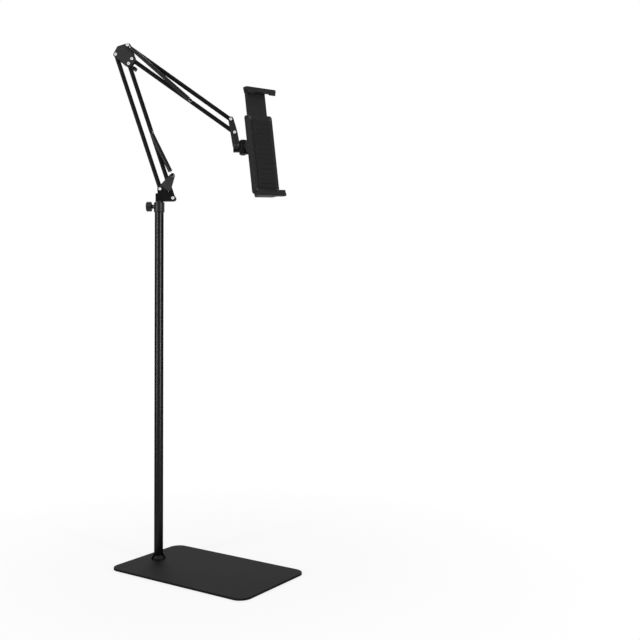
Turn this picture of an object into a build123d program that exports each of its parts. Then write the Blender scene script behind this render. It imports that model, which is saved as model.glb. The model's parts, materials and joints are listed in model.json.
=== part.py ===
from build123d import *
import os
from math import asin, cos, degrees, radians, sin, sqrt

os.makedirs("parts", exist_ok=True)

# Adjustable tablet floor stand. The origin is the middle of the base on the floor, +X runs
# along the long side of the base towards the tablet and +Z is up. Lengths are millimetres.

# Fits shared by several pieces
running_clearance = 0.05
side_clearance = 0.1
cut_overrun = 1.0

# Base plate and the anti-slip sheet under it
base_length = 300.0
base_width = 175.0
base_thickness = 3.5
base_corner_radius = 20.0
base_edge_round = 0.8
sheet_thickness = 1.0
sheet_inset = 3.0
pole_from_rear_edge = 34.5

# Pole with its foot: flange, plug and the countersunk bolt from below
pole_diameter = 16.0
pole_wall = 1.0
pole_length = 645.5
flange_diameter = 25.0
flange_height = 7.0
flange_top_wall = 1.2
flange_rim_height = 1.5
plug_length = 30.0
base_bolt_diameter = 8.0
base_bolt_length = 24.0
base_bolt_head_diameter = 14.6
base_bolt_socket = 5.0
base_bolt_socket_depth = 2.4

# Clamp collar on the pole, its bush and its thumb knob
collar_diameter = 19.2
collar_height = 19.6
collar_lip = 2.0
collar_chamfer = 1.6
bush_length = 24.0
knob_above_collar_foot = 11.2
knob_azimuth = 215.0
knob_screw_diameter = 5.0
knob_tip_gap = 0.15
knob_neck_diameter = 7.6
knob_neck_length = 3.6
knob_diameter = 18.0
knob_thickness = 10.2
knob_lobes = 8
knob_lobe_radius = 2.2
knob_edge_round = 1.2
knob_cap_depth = 0.6

# Mast that slides in the pole
mast_diameter = 13.0
mast_wall = 1.2
mast_length = 420.0
mast_above_collar = 0.4
guide_ring_length = 12.0

# Swivel post that turns on the mast
washer_thickness = 0.6
post_head_diameter = 13.8
post_head_height = 14.7
post_head_round = 1.2
post_shank_length = 40.0

# The arm stands in one upright plane through the pole. Points in it are given as a distance
# along the plane from the pole and a height; the third direction is across, positive on the
# side of the springs.
arm_azimuth = 37.0
bar_diameter = 8.0
bar_wall = 1.0
bar_bore_run = 1.0
cross_bush_diameter = 5.5
cross_bush_length = 9.0
bolt_diameter = 4.0
bolt_head_diameter = 6.2
bolt_head_height = 2.4
bolt_head_round = 0.7
bolt_socket = 2.5
bolt_socket_depth = 1.3
nut_across_flats = 7.0
nut_height = 3.2
nut_chamfer = 0.4
plate_thickness = 1.5
rivet_diameter = 3.0
rivet_head_diameter = 4.6
rivet_head_height = 0.8

# Arm bracket on the swivel post
rear_pivot_out = 2.2
rear_pivot_rise = 22.6
bracket_pivot_spacing = 28.6
bracket_pivot_slope = -35.0
pivot_boss_radius = 5.0
cheek_left_edge = -1.1
cheek_foot_gap = 0.2
cheek_corner_radius = 3.0
ear_out = 22.3
ear_rise = 25.0
ear_radius = 4.5
ear_root_out = 14.8
ear_root_rise = 1.5
ear_root_radius = 5.5
rivet_from_post_foot = 5.0
rivet_spacing = 6.2
rivet_out = 2.6

# Lower arm and its spring
lower_arm_length = 257.0
lower_arm_lean = 18.2
lower_spring_stud_along = 124.4
lower_spring_out = 8.5
lower_sleeve_diameter = 8.0
sleeve_wall = 0.9
sleeve_hook_gap = 7.6
sleeve_stud_gap = 3.6
spring_wire = 1.2
spring_shoulder_diameter = 5.8
spring_head_height = 1.2

# Elbow between the two arms, with its clamp bolt and wing nut
elbow_out = 22.0
elbow_rise = 16.3
elbow_pivot_spacing = 25.0
elbow_pivot_slope = -73.5
elbow_rear_radius = 4.5
elbow_corner_out = 5.6
elbow_corner_rise = 11.9
elbow_corner_radius = 4.0
elbow_low_radius = 6.5
spring_bolt_head_diameter = 6.8
wing_hub_diameter = 10.0
wing_hub_gap = 0.2
wing_nut_gap = 0.7
wing_hub_rise = 5.0
wing_reach = 13.0
wing_root = 3.0
wing_width = 8.5
wing_flare = 1.8
wing_thickness = 6.4
wing_tip_radius = 2.4
wing_slope = -29.0
clamp_bolt_beyond_hub = 2.0

# Upper arm and its spring
upper_arm_length = 228.0
upper_arm_droop = 35.2
upper_spring_stud_along = 130.0
upper_spring_out = 9.9
upper_sleeve_diameter = 7.0

# End bracket with its swivel block
end_foot_out = 2.6
end_foot_drop = 23.4
end_foot_radius = 6.8
end_rivet_half_spacing = 3.2
block_height = 17.0
block_behind_foot = 5.5
block_below_foot = 3.6
swivel_out = 12.0
swivel_boss_diameter = 12.0
fork_pin_diameter = 6.0

# Swivel fork, ball stem and ball joint
head_azimuth = -8.6
fork_lug_radius = 6.5
fork_lug_height = 4.0
fork_gap = 0.2
fork_web_gap = 0.6
fork_web_thickness = 3.9
fork_web_width = 12.0
fork_web_start = 5.0
pin_head_diameter = 9.0
pin_head_height = 1.5
stem_diameter = 6.0
stem_reach = 28.0
ball_diameter = 17.0
liner_wall = 1.45
liner_cut = 5.0
seat_clearance = 0.05

# Tablet clamp: everything in front of the ball
clamp_tilt = 4.0
clamp_roll = 4.5
boss_radius = 12.0
boss_rear = 1.0
clamp_nut_radius = 16.0
clamp_nut_lobes = 10
clamp_nut_lobe_radius = 3.4
clamp_nut_front = 6.0
clamp_nut_rear = 7.5
clamp_nut_flare_radius = 13.0
clamp_nut_round = 0.8
body_rear = 11.0
body_width = 60.0
body_top = 50.5
body_chamfer = 4.0
body_corner_radius = 5.0
boss_plate_side = 34.0
boss_plate_thickness = 3.0
boss_plate_chamfer = 2.0
body_rear_wall = 2.6
slot_depth = 7.4
slide_clearance = 0.2
cover_thickness = 4.0
cover_round = 1.0
pad_width = 44.0
pad_margin = 9.0
pad_thickness = 1.5
pad_corner_radius = 4.0
pad_groove_width = 1.2
pad_groove_depth = 0.6
pad_groove_pitch = 9.0
screw_diameter = 3.0
screw_length = 10.0
screw_head_diameter = 5.6
screw_socket = 2.0
screw_socket_depth = 1.2
screw_from_side = 4.0
screw_from_end = 6.0

# Jaws: the tablet stands between them, behind their lips
lower_jaw_face = 89.5
upper_jaw_face = 90.0
jaw_pad_thickness = 1.2
jaw_pad_width = 66.0
jaw_width = 74.0
jaw_thickness = 5.5
jaw_rear = 12.5
jaw_corner_radius = 3.0
tablet_space = 6.9
lip_thickness = 2.6
lip_height = 2.2
lip_hook_height = 2.0
lip_hook_width = 15.0
lip_hook_radius = 3.6
slide_width = 44.0
slide_length = 126.0
tongue_length = 12.7
ridge_count = 5
ridge_pitch = 6.0
ridge_width = 2.4
ridge_depth = 1.0
ridge_from_jaw = 8.0
ridge_side_margin = 5.0

# Levels along the pole
base_top = sheet_thickness + base_thickness
pole_x = -base_length / 2 + pole_from_rear_edge
pole_top = base_top + pole_length
collar_top = pole_top + collar_lip
collar_foot = collar_top - collar_height
knob_height = collar_foot + knob_above_collar_foot
mast_top = collar_top + mast_above_collar
post_foot = mast_top + washer_thickness
pole_bore = pole_diameter / 2 - pole_wall
mast_bore = mast_diameter / 2 - mast_wall

# Layers across the arm
bar_radius = bar_diameter / 2
plate_inner = cross_bush_length / 2 + side_clearance
plate_outer = plate_inner + plate_thickness
stiffener_outer = plate_outer + plate_thickness
nut_outer = plate_outer + nut_height
bolt_radius = bolt_diameter / 2
bolt_hole = bolt_radius + running_clearance
rivet_radius = rivet_diameter / 2
wire_gap = spring_wire / 2 + side_clearance


def step(point, length, slope):
    """The point of the arm's plane that lies a length away from another, at a slope in degrees."""
    return (point[0] + length * cos(radians(slope)), point[1] + length * sin(radians(slope)))


def shifted(point, out, rise):
    """A point of the arm's plane, moved along it and up."""
    return (point[0] + out, point[1] + rise)


# Pivots of the two parallel-bar arms, in the arm's plane
lower_slope = 90.0 + lower_arm_lean
rear_pivot = (rear_pivot_out, mast_top + rear_pivot_rise)
front_pivot = step(rear_pivot, bracket_pivot_spacing, bracket_pivot_slope)
cheek_corner = (cheek_left_edge + cheek_corner_radius, post_foot + cheek_foot_gap + cheek_corner_radius)
ear = shifted(rear_pivot, ear_out, ear_rise)
ear_root = shifted(rear_pivot, ear_root_out, ear_root_rise)
elbow_rear = step(rear_pivot, lower_arm_length, lower_slope)
elbow_front = step(front_pivot, lower_arm_length, lower_slope)
elbow_corner = shifted(elbow_rear, elbow_corner_out, elbow_corner_rise)
elbow_top = shifted(elbow_rear, elbow_out, elbow_rise)
elbow_low = step(elbow_top, elbow_pivot_spacing, elbow_pivot_slope)
end_top = step(elbow_top, upper_arm_length, -upper_arm_droop)
end_low = step(elbow_low, upper_arm_length, -upper_arm_droop)
end_foot = shifted(end_low, end_foot_out, -end_foot_drop)
end_rivets_at = [shifted(end_foot, side * end_rivet_half_spacing, 0) for side in (-1, 1)]
post_rivets_at = [
    (rivet_out, post_foot + rivet_from_post_foot),
    (rivet_out, post_foot + rivet_from_post_foot + rivet_spacing),
]
lower_stud = step(front_pivot, lower_spring_stud_along, lower_slope)
upper_stud = step(elbow_low, upper_spring_stud_along, -upper_arm_droop)

arm_plane = Plane(
    origin=(pole_x, 0, 0),
    x_dir=(cos(radians(arm_azimuth)), sin(radians(arm_azimuth)), 0),
    z_dir=(sin(radians(arm_azimuth)), -cos(radians(arm_azimuth)), 0),
)
knob_plane = Plane(
    origin=(pole_x, 0, knob_height),
    x_dir=(0, 0, 1),
    z_dir=(cos(radians(knob_azimuth)), sin(radians(knob_azimuth)), 0),
)

# Head: the fork turns about an upright pin, the clamp about the centre of the ball
block_foot = end_foot[1] - block_below_foot - block_height / 2
swivel_axis = (end_foot[0] + swivel_out, block_foot + block_height / 2)
head_direction = Vector(cos(radians(head_azimuth)), sin(radians(head_azimuth)), 0)
swivel_centre = arm_plane.from_local_coords(Vector(swivel_axis[0], swivel_axis[1], 0))
head_plane = Plane(origin=swivel_centre, x_dir=head_direction, z_dir=(0, 0, 1))
stem_plane = Plane(origin=swivel_centre, x_dir=(0, 0, 1), z_dir=head_direction)
ball_centre = swivel_centre + head_direction * stem_reach
tilted_plane = Plane(
    origin=ball_centre,
    x_dir=(-sin(radians(head_azimuth)), cos(radians(head_azimuth)), 0),
    z_dir=head_direction * cos(radians(clamp_tilt)) + Vector(0, 0, 1) * sin(radians(clamp_tilt)),
)
clamp_plane = Plane(tilted_plane.location * Rotation(0, 0, clamp_roll))
section_plane = Plane(origin=ball_centre, x_dir=clamp_plane.y_dir, z_dir=clamp_plane.x_dir)
ball_radius = ball_diameter / 2
liner_inner = ball_radius + seat_clearance
liner_outer = liner_inner + liner_wall
seat_radius = liner_outer + seat_clearance
fork_foot = block_foot - fork_gap - fork_lug_height
fork_height = block_height + 2 * fork_gap + 2 * fork_lug_height
web_inner = swivel_boss_diameter / 2 + fork_web_gap
web_outer = web_inner + fork_web_thickness

# Layers of the tablet clamp, along its own axis from the ball
slot_floor = body_rear + body_rear_wall
slot_top = slot_floor + slot_depth
cover_front = slot_top + cover_thickness
pad_front = cover_front + pad_thickness
lip_rear = pad_front + tablet_space
lip_front = lip_rear + lip_thickness
body_foot = -(lower_jaw_face + jaw_pad_thickness)
body_height = body_top - body_foot
body_middle = (body_top + body_foot) / 2
slot_width = slide_width + 2 * slide_clearance
screw_places = [
    (side * (body_width / 2 - screw_from_side), height)
    for side in (-1, 1)
    for height in (body_foot + screw_from_end, body_top - screw_from_end)
]


def hull_of(*rounds):
    """A plate's outline: the hull of circles, each given by its centre and radius."""
    for centre, radius in rounds:
        with Locations(centre):
            Circle(radius)
    make_hull()


def add_bolts(points, seat, far_end, head_diameter):
    """Socket bolts across the arm, with their heads on a plate's face and their tips at far_end."""
    with Locations(*[(x, height, far_end) for x, height in points]):
        Cylinder(bolt_radius, seat - far_end, align=(Align.CENTER, Align.CENTER, Align.MIN))
    with Locations(*[(x, height, seat) for x, height in points]):
        heads = Cylinder(head_diameter / 2, bolt_head_height, align=(Align.CENTER, Align.CENTER, Align.MIN))
    faces = heads.faces().filter_by(arm_plane)
    rims = faces.sort_by(lambda face: -arm_plane.to_local_coords(face.center()).Z)
    fillet(rims[: len(points)].edges(), bolt_head_round)
    with BuildSketch(arm_plane.offset(seat + bolt_head_height)) as sockets:
        with Locations(*points):
            RegularPolygon(bolt_socket / 2, 6, major_radius=False)
    extrude(sockets.sketch, amount=-bolt_socket_depth, mode=Mode.SUBTRACT)


def add_nuts(points):
    """Lock nuts behind the far plate."""
    with BuildSketch(arm_plane.offset(-nut_outer)) as hexagons:
        with Locations(*points):
            RegularPolygon(nut_across_flats / 2, 6, major_radius=False)
            Circle(bolt_hole, mode=Mode.SUBTRACT)
    nuts = extrude(hexagons.sketch, amount=nut_height)
    outer = nuts.faces().sort_by(lambda face: arm_plane.to_local_coords(face.center()).Z)[: len(points)]
    chamfer(outer.edges().filter_by(GeomType.LINE), nut_chamfer)


def add_spring_stud(point, foot, shoulder_foot, wire_height):
    """A headed stud that carries the eye of a spring at a height above the arm's plane."""
    wire_low = wire_height - wire_gap
    wire_high = wire_height + wire_gap
    with Locations((point[0], point[1], foot)):
        Cylinder(bolt_radius, wire_high - foot, align=(Align.CENTER, Align.CENTER, Align.MIN))
    with Locations((point[0], point[1], shoulder_foot)):
        Cylinder(
            spring_shoulder_diameter / 2,
            wire_low - shoulder_foot,
            align=(Align.CENTER, Align.CENTER, Align.MIN),
        )
    with Locations((point[0], point[1], wire_high)):
        Cylinder(
            spring_shoulder_diameter / 2,
            spring_head_height,
            align=(Align.CENTER, Align.CENTER, Align.MIN),
        )


def line_plane(start, end, out=0):
    """The plane along the line between two points of the arm, at a distance across from it."""
    origin = arm_plane.from_local_coords(Vector(start[0], start[1], out))
    far = arm_plane.from_local_coords(Vector(end[0], end[1], out))
    return Plane(origin=origin, x_dir=far - origin, z_dir=arm_plane.z_dir)


def distance(start, end):
    """The distance between two points of the arm's plane."""
    return sqrt((end[0] - start[0]) ** 2 + (end[1] - start[1]) ** 2)


def bar(start, end):
    """A tube between two pivots, with round closed ends and a cross hole at each pivot."""
    plane = line_plane(start, end)
    length = distance(start, end)
    bore = bar_radius - bar_wall
    with BuildPart() as tube:
        with BuildSketch(plane):
            with BuildLine():
                RadiusArc((-bar_radius, 0), (0, bar_radius), bar_radius)
                Line((0, bar_radius), (length, bar_radius))
                RadiusArc((length, bar_radius), (length + bar_radius, 0), bar_radius)
                Line((length + bar_radius, 0), (-bar_radius, 0))
            make_face()
        revolve(axis=Axis(plane.origin, plane.x_dir))
        with BuildSketch(plane):
            with Locations((-bar_bore_run, 0)):
                Rectangle(length + 2 * bar_bore_run, bore, align=(Align.MIN, Align.MIN))
        revolve(axis=Axis(plane.origin, plane.x_dir), mode=Mode.SUBTRACT)
        with BuildSketch(plane):
            with Locations((0, 0), (length, 0)):
                Circle(cross_bush_diameter / 2)
        extrude(amount=bar_diameter, both=True, mode=Mode.SUBTRACT)
    return tube.part


def add_bushes(*points):
    """Bushes through the ends of a bar, with a running bore for the pivot bolts."""
    with BuildSketch(arm_plane) as rings:
        with Locations(*points):
            Circle(cross_bush_diameter / 2)
            Circle(bolt_hole, mode=Mode.SUBTRACT)
    extrude(rings.sketch, amount=cross_bush_length / 2, both=True)


def tension_spring(start, end, out, sleeve_diameter):
    """A tension spring from its anchor to a bar's stud: a wound body and an eye at each end."""
    plane = line_plane(start, end, out)
    length = distance(start, end)
    eye_radius = bolt_radius + wire_gap
    wound_radius = sleeve_diameter / 2 - sleeve_wall - side_clearance
    with BuildPart(plane) as spring:
        with Locations((0, 0), (length, 0)):
            Torus(eye_radius, spring_wire / 2)
        with BuildSketch(Plane(plane.origin, x_dir=plane.y_dir, z_dir=plane.x_dir).offset(eye_radius)):
            Circle(spring_wire / 2)
        extrude(amount=length - 2 * eye_radius)
        with BuildSketch(Plane(plane.origin, x_dir=plane.y_dir, z_dir=plane.x_dir).offset(sleeve_hook_gap)):
            Circle(wound_radius)
        extrude(amount=length - sleeve_hook_gap - sleeve_stud_gap)
    return spring.part


def spring_sleeve(start, end, out, sleeve_diameter):
    """The plastic tube over a spring; it has slid against the stud and bares the anchor's hook."""
    plane = line_plane(start, end, out)
    length = distance(start, end)
    with BuildPart() as sleeve:
        with BuildSketch(Plane(plane.origin, x_dir=plane.y_dir, z_dir=plane.x_dir).offset(sleeve_hook_gap)):
            Circle(sleeve_diameter / 2)
            Circle(sleeve_diameter / 2 - sleeve_wall, mode=Mode.SUBTRACT)
        extrude(amount=length - sleeve_hook_gap - sleeve_stud_gap)
    return sleeve.part


# Base plate with rounded corners and a countersunk hole under the pole
with BuildPart() as base_plate:
    with BuildSketch(Plane.XY.offset(sheet_thickness)):
        RectangleRounded(base_length, base_width, base_corner_radius)
    extrude(amount=base_thickness)
    fillet(base_plate.faces().sort_by(Axis.Z)[-1].outer_wire().edges(), base_edge_round)
    with Locations(Location((pole_x, 0, sheet_thickness), (180, 0, 0))):
        CounterSinkHole(
            base_bolt_diameter / 2 + running_clearance,
            base_bolt_head_diameter / 2 + running_clearance,
            depth=base_thickness + cut_overrun,
            counter_sink_angle=90,
        )
base_plate.part.label = "base_plate"
export_step(base_plate.part, "parts/base_plate.step")

# Anti-slip sheet, a little smaller than the plate
with BuildPart() as anti_slip_sheet:
    with BuildSketch():
        RectangleRounded(
            base_length - 2 * sheet_inset,
            base_width - 2 * sheet_inset,
            base_corner_radius - sheet_inset,
        )
        with Locations((pole_x, 0)):
            Circle(base_bolt_head_diameter / 2 + sheet_thickness, mode=Mode.SUBTRACT)
    extrude(amount=sheet_thickness)
anti_slip_sheet.part.label = "anti_slip_sheet"
export_step(anti_slip_sheet.part, "parts/anti_slip_sheet.step")

# Foot flange: a low cone with a short rim round the pole
with BuildPart() as foot_flange:
    with BuildSketch(Plane(origin=(pole_x, 0, base_top), x_dir=(1, 0, 0), z_dir=(0, -1, 0))):
        with BuildLine():
            Polyline(
                (pole_diameter / 2 + running_clearance, 0),
                (flange_diameter / 2, 0),
                (flange_diameter / 2, flange_rim_height),
                (pole_diameter / 2 + flange_top_wall, flange_height),
                (pole_diameter / 2 + running_clearance, flange_height),
                close=True,
            )
        make_face()
    revolve(axis=Axis((pole_x, 0, 0), (0, 0, 1)))
foot_flange.part.label = "foot_flange"
export_step(foot_flange.part, "parts/foot_flange.step")

# Pole tube, drilled near its top for the knob's screw
with BuildPart() as pole_tube:
    with BuildSketch(Plane.XY.offset(base_top)):
        with Locations((pole_x, 0)):
            Circle(pole_diameter / 2)
            Circle(pole_bore, mode=Mode.SUBTRACT)
    extrude(amount=pole_length)
    with BuildSketch(knob_plane):
        Circle(knob_screw_diameter / 2 + side_clearance)
    extrude(amount=pole_diameter, mode=Mode.SUBTRACT)
pole_tube.part.label = "pole_tube"
export_step(pole_tube.part, "parts/pole_tube.step")

# Threaded plug in the foot of the pole
with BuildPart() as pole_foot_plug:
    with BuildSketch(Plane.XY.offset(base_top)):
        with Locations((pole_x, 0)):
            Circle(pole_bore)
            Circle(base_bolt_diameter / 2 + running_clearance, mode=Mode.SUBTRACT)
    extrude(amount=plug_length)
pole_foot_plug.part.label = "pole_foot_plug"
export_step(pole_foot_plug.part, "parts/pole_foot_plug.step")

# Countersunk bolt from below, flush with the plate, into the plug
with BuildPart() as base_bolt:
    head_cone = (base_bolt_head_diameter - base_bolt_diameter) / 2
    with BuildSketch(Plane(origin=(pole_x, 0, sheet_thickness), x_dir=(1, 0, 0), z_dir=(0, -1, 0))):
        with BuildLine():
            Polyline(
                (0, 0),
                (base_bolt_head_diameter / 2, 0),
                (base_bolt_diameter / 2, head_cone),
                (base_bolt_diameter / 2, base_bolt_length),
                (0, base_bolt_length),
                close=True,
            )
        make_face()
    revolve(axis=Axis((pole_x, 0, 0), (0, 0, 1)))
    with BuildSketch(Plane.XY.offset(sheet_thickness)):
        with Locations((pole_x, 0)):
            RegularPolygon(base_bolt_socket / 2, 6, major_radius=False)
    extrude(amount=base_bolt_socket_depth, mode=Mode.SUBTRACT)
base_bolt.part.label = "base_bolt"
export_step(base_bolt.part, "parts/base_bolt.step")

# Clamp collar: it sits on the pole's top, and its lip closes over the bush
with BuildPart() as collar:
    with BuildSketch(Plane.XY.offset(collar_foot)):
        with Locations((pole_x, 0)):
            Circle(collar_diameter / 2)
    extrude(amount=collar_height)
    rims = collar.edges().filter_by(GeomType.CIRCLE)
    chamfer(rims, min(collar_chamfer, (collar_diameter - pole_diameter) / 2 - running_clearance))
    with BuildSketch(Plane.XY.offset(collar_foot)):
        with Locations((pole_x, 0)):
            Circle(pole_diameter / 2)
    extrude(amount=collar_height - collar_lip, mode=Mode.SUBTRACT)
    with BuildSketch(Plane.XY.offset(collar_top)):
        with Locations((pole_x, 0)):
            Circle(mast_diameter / 2 + side_clearance)
    extrude(amount=-collar_height, mode=Mode.SUBTRACT)
    with BuildSketch(knob_plane):
        Circle(knob_screw_diameter / 2 + running_clearance)
    extrude(amount=collar_diameter, mode=Mode.SUBTRACT)
collar.part.label = "collar"
export_step(collar.part, "parts/collar.step")

# Glide bush in the top of the pole
with BuildPart() as collar_bush:
    with BuildSketch(Plane.XY.offset(pole_top)):
        with Locations((pole_x, 0)):
            Circle(pole_bore)
            Circle(mast_diameter / 2 + running_clearance, mode=Mode.SUBTRACT)
    extrude(amount=-bush_length)
    with BuildSketch(knob_plane):
        Circle(knob_screw_diameter / 2 + side_clearance)
    extrude(amount=pole_diameter, mode=Mode.SUBTRACT)
collar_bush.part.label = "collar_bush"
export_step(collar_bush.part, "parts/collar_bush.step")

# Thumb knob: a lobed head on a neck, drilled for its screw, with a shallow dished cap
knob_neck_face = collar_diameter / 2 + knob_tip_gap
knob_head_face = collar_diameter / 2 + knob_neck_length
knob_end_face = knob_head_face + knob_thickness
with BuildPart() as knob_head:
    with BuildSketch(knob_plane.offset(knob_head_face)):
        Circle(knob_diameter / 2 - knob_lobe_radius / 2)
        with PolarLocations(knob_diameter / 2 - knob_lobe_radius, knob_lobes):
            Circle(knob_lobe_radius)
    extrude(amount=knob_thickness)
    fillet(knob_head.faces().filter_by(knob_plane).edges(), knob_edge_round)
    with BuildSketch(knob_plane.offset(knob_neck_face)):
        Circle(knob_neck_diameter / 2)
    extrude(amount=knob_head_face - knob_neck_face)
    with BuildSketch(knob_plane.offset(knob_end_face)):
        Circle(knob_diameter / 2 - 2 * knob_lobe_radius)
    extrude(amount=-knob_cap_depth, mode=Mode.SUBTRACT)
    with BuildSketch(knob_plane.offset(knob_neck_face)):
        Circle(knob_screw_diameter / 2)
    extrude(amount=knob_neck_length + knob_thickness / 2, mode=Mode.SUBTRACT)
knob_head.part.label = "knob_head"
export_step(knob_head.part, "parts/knob_head.step")

# Screw of the knob, from just off the mast into the knob's head
knob_screw_end = knob_neck_face + knob_neck_length + knob_thickness / 2
with BuildPart() as knob_screw:
    with BuildSketch(knob_plane.offset(mast_diameter / 2 + knob_tip_gap)):
        Circle(knob_screw_diameter / 2)
    extrude(amount=knob_screw_end - mast_diameter / 2 - knob_tip_gap)
    tip = knob_screw.faces().sort_by(lambda face: knob_plane.to_local_coords(face.center()).Z)[0]
    chamfer(tip.edges(), knob_tip_gap * 4)
knob_screw.part.label = "knob_screw"
export_step(knob_screw.part, "parts/knob_screw.step")

# Mast tube inside the pole
with BuildPart() as mast_tube:
    with BuildSketch(Plane.XY.offset(mast_top)):
        with Locations((pole_x, 0)):
            Circle(mast_diameter / 2)
            Circle(mast_bore, mode=Mode.SUBTRACT)
    extrude(amount=-mast_length)
mast_tube.part.label = "mast_tube"
export_step(mast_tube.part, "parts/mast_tube.step")

# Guide ring pressed on the foot of the mast
with BuildPart() as mast_guide_ring:
    with BuildSketch(Plane.XY.offset(mast_top - mast_length)):
        with Locations((pole_x, 0)):
            Circle(pole_bore - running_clearance)
            Circle(mast_diameter / 2, mode=Mode.SUBTRACT)
    extrude(amount=guide_ring_length)
mast_guide_ring.part.label = "mast_guide_ring"
export_step(mast_guide_ring.part, "parts/mast_guide_ring.step")

# Thrust washer between the mast and the swivel post
post_shank_radius = mast_bore - running_clearance
with BuildPart() as thrust_washer:
    with BuildSketch(Plane.XY.offset(mast_top)):
        with Locations((pole_x, 0)):
            Circle(post_head_diameter / 2)
            Circle(mast_bore, mode=Mode.SUBTRACT)
    extrude(amount=washer_thickness)
thrust_washer.part.label = "thrust_washer"
export_step(thrust_washer.part, "parts/thrust_washer.step")

# Swivel post: a shank in the mast and a head with two flats for the cheeks
with BuildPart() as swivel_post:
    with BuildSketch(Plane.XY.offset(post_foot)):
        with Locations((pole_x, 0)):
            Circle(post_head_diameter / 2)
    extrude(amount=post_head_height)
    fillet(swivel_post.faces().sort_by(Axis.Z)[-1].edges(), post_head_round)
    for side in (1, -1):
        with BuildSketch(arm_plane.offset(side * plate_inner)):
            with Locations((0, post_foot + post_head_height / 2)):
                Rectangle(2 * post_head_diameter, 2 * post_head_height)
        extrude(amount=side * post_head_diameter, mode=Mode.SUBTRACT)
    with BuildSketch(Plane.XY.offset(post_foot)):
        with Locations((pole_x, 0)):
            Circle(post_shank_radius)
    extrude(amount=-post_shank_length)
    with BuildSketch(arm_plane):
        with Locations(*post_rivets_at):
            Circle(rivet_radius)
    extrude(amount=post_head_diameter, both=True, mode=Mode.SUBTRACT)
swivel_post.part.label = "swivel_post"
export_step(swivel_post.part, "parts/swivel_post.step")

bracket_pivots = [rear_pivot, front_pivot]
bracket_rounds = [
    (rear_pivot, pivot_boss_radius),
    (front_pivot, pivot_boss_radius),
    (cheek_corner, cheek_corner_radius),
]
ear_rounds = [
    (rear_pivot, pivot_boss_radius),
    (ear, ear_radius),
    (ear_root, ear_root_radius),
]

# Near cheek of the arm bracket, with the ear that carries the lower spring
with BuildPart() as bracket_cheek_near:
    with BuildSketch(arm_plane.offset(plate_inner)):
        hull_of(*bracket_rounds)
    extrude(amount=plate_thickness)
    with BuildSketch(arm_plane.offset(plate_inner)):
        hull_of(*ear_rounds)
    extrude(amount=plate_thickness)
    with BuildSketch(arm_plane):
        with Locations(*bracket_pivots):
            Circle(bolt_hole)
        with Locations(*post_rivets_at):
            Circle(rivet_radius)
        with Locations(ear):
            Circle(bolt_radius)
    extrude(amount=stiffener_outer, mode=Mode.SUBTRACT)
bracket_cheek_near.part.label = "bracket_cheek_near"
export_step(bracket_cheek_near.part, "parts/bracket_cheek_near.step")

# Far cheek, without the ear
with BuildPart() as bracket_cheek_far:
    with BuildSketch(arm_plane.offset(-plate_outer)):
        hull_of(*bracket_rounds)
    extrude(amount=plate_thickness)
    with BuildSketch(arm_plane):
        with Locations(*bracket_pivots):
            Circle(bolt_hole)
        with Locations(*post_rivets_at):
            Circle(rivet_radius)
    extrude(amount=-stiffener_outer, mode=Mode.SUBTRACT)
bracket_cheek_far.part.label = "bracket_cheek_far"
export_step(bracket_cheek_far.part, "parts/bracket_cheek_far.step")

# Stiffener plate over the near cheek
with BuildPart() as bracket_stiffener:
    with BuildSketch(arm_plane.offset(plate_outer)):
        hull_of(*bracket_rounds)
    extrude(amount=plate_thickness)
    with BuildSketch(arm_plane):
        with Locations(*bracket_pivots):
            Circle(bolt_hole)
        with Locations(*post_rivets_at):
            Circle(rivet_radius)
    extrude(amount=stiffener_outer + cut_overrun, mode=Mode.SUBTRACT)
bracket_stiffener.part.label = "bracket_stiffener"
export_step(bracket_stiffener.part, "parts/bracket_stiffener.step")

# Rivets through both cheeks and the post
with BuildPart() as bracket_rivets:
    with BuildSketch(arm_plane.offset(-plate_outer)):
        with Locations(*post_rivets_at):
            Circle(rivet_radius)
    extrude(amount=plate_outer + stiffener_outer)
    with BuildSketch(arm_plane.offset(stiffener_outer)):
        with Locations(*post_rivets_at):
            Circle(rivet_head_diameter / 2)
    extrude(amount=rivet_head_height, taper=20)
    with BuildSketch(arm_plane.offset(-plate_outer)):
        with Locations(*post_rivets_at):
            Circle(rivet_head_diameter / 2)
    extrude(amount=-rivet_head_height, taper=20)
bracket_rivets.part.label = "bracket_rivets"
export_step(bracket_rivets.part, "parts/bracket_rivets.step")

# Pivot bolts of the bracket and their lock nuts
with BuildPart(arm_plane) as bracket_pivot_bolts:
    add_bolts(bracket_pivots, stiffener_outer, -nut_outer, bolt_head_diameter)
bracket_pivot_bolts.part.label = "bracket_pivot_bolts"
export_step(bracket_pivot_bolts.part, "parts/bracket_pivot_bolts.step")

with BuildPart(arm_plane) as bracket_lock_nuts:
    add_nuts(bracket_pivots)
bracket_lock_nuts.part.label = "bracket_lock_nuts"
export_step(bracket_lock_nuts.part, "parts/bracket_lock_nuts.step")

# Stud on the ear for the eye of the lower spring
with BuildPart(arm_plane) as lower_spring_anchor:
    add_spring_stud(ear, plate_inner, plate_outer, lower_spring_out)
lower_spring_anchor.part.label = "lower_spring_anchor"
export_step(lower_spring_anchor.part, "parts/lower_spring_anchor.step")

# Lower arm: rear tube and front tube with their bushes
with BuildPart() as lower_rear_tube:
    add(bar(rear_pivot, elbow_rear))
lower_rear_tube.part.label = "lower_rear_tube"
export_step(lower_rear_tube.part, "parts/lower_rear_tube.step")

with BuildPart() as lower_rear_bushes:
    add_bushes(rear_pivot, elbow_rear)
lower_rear_bushes.part.label = "lower_rear_bushes"
export_step(lower_rear_bushes.part, "parts/lower_rear_bushes.step")

with BuildPart() as lower_front_tube:
    add(bar(front_pivot, elbow_front))
    with BuildSketch(arm_plane):
        with Locations(lower_stud):
            Circle(bolt_radius)
    extrude(amount=bar_diameter, mode=Mode.SUBTRACT)
lower_front_tube.part.label = "lower_front_tube"
export_step(lower_front_tube.part, "parts/lower_front_tube.step")

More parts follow.
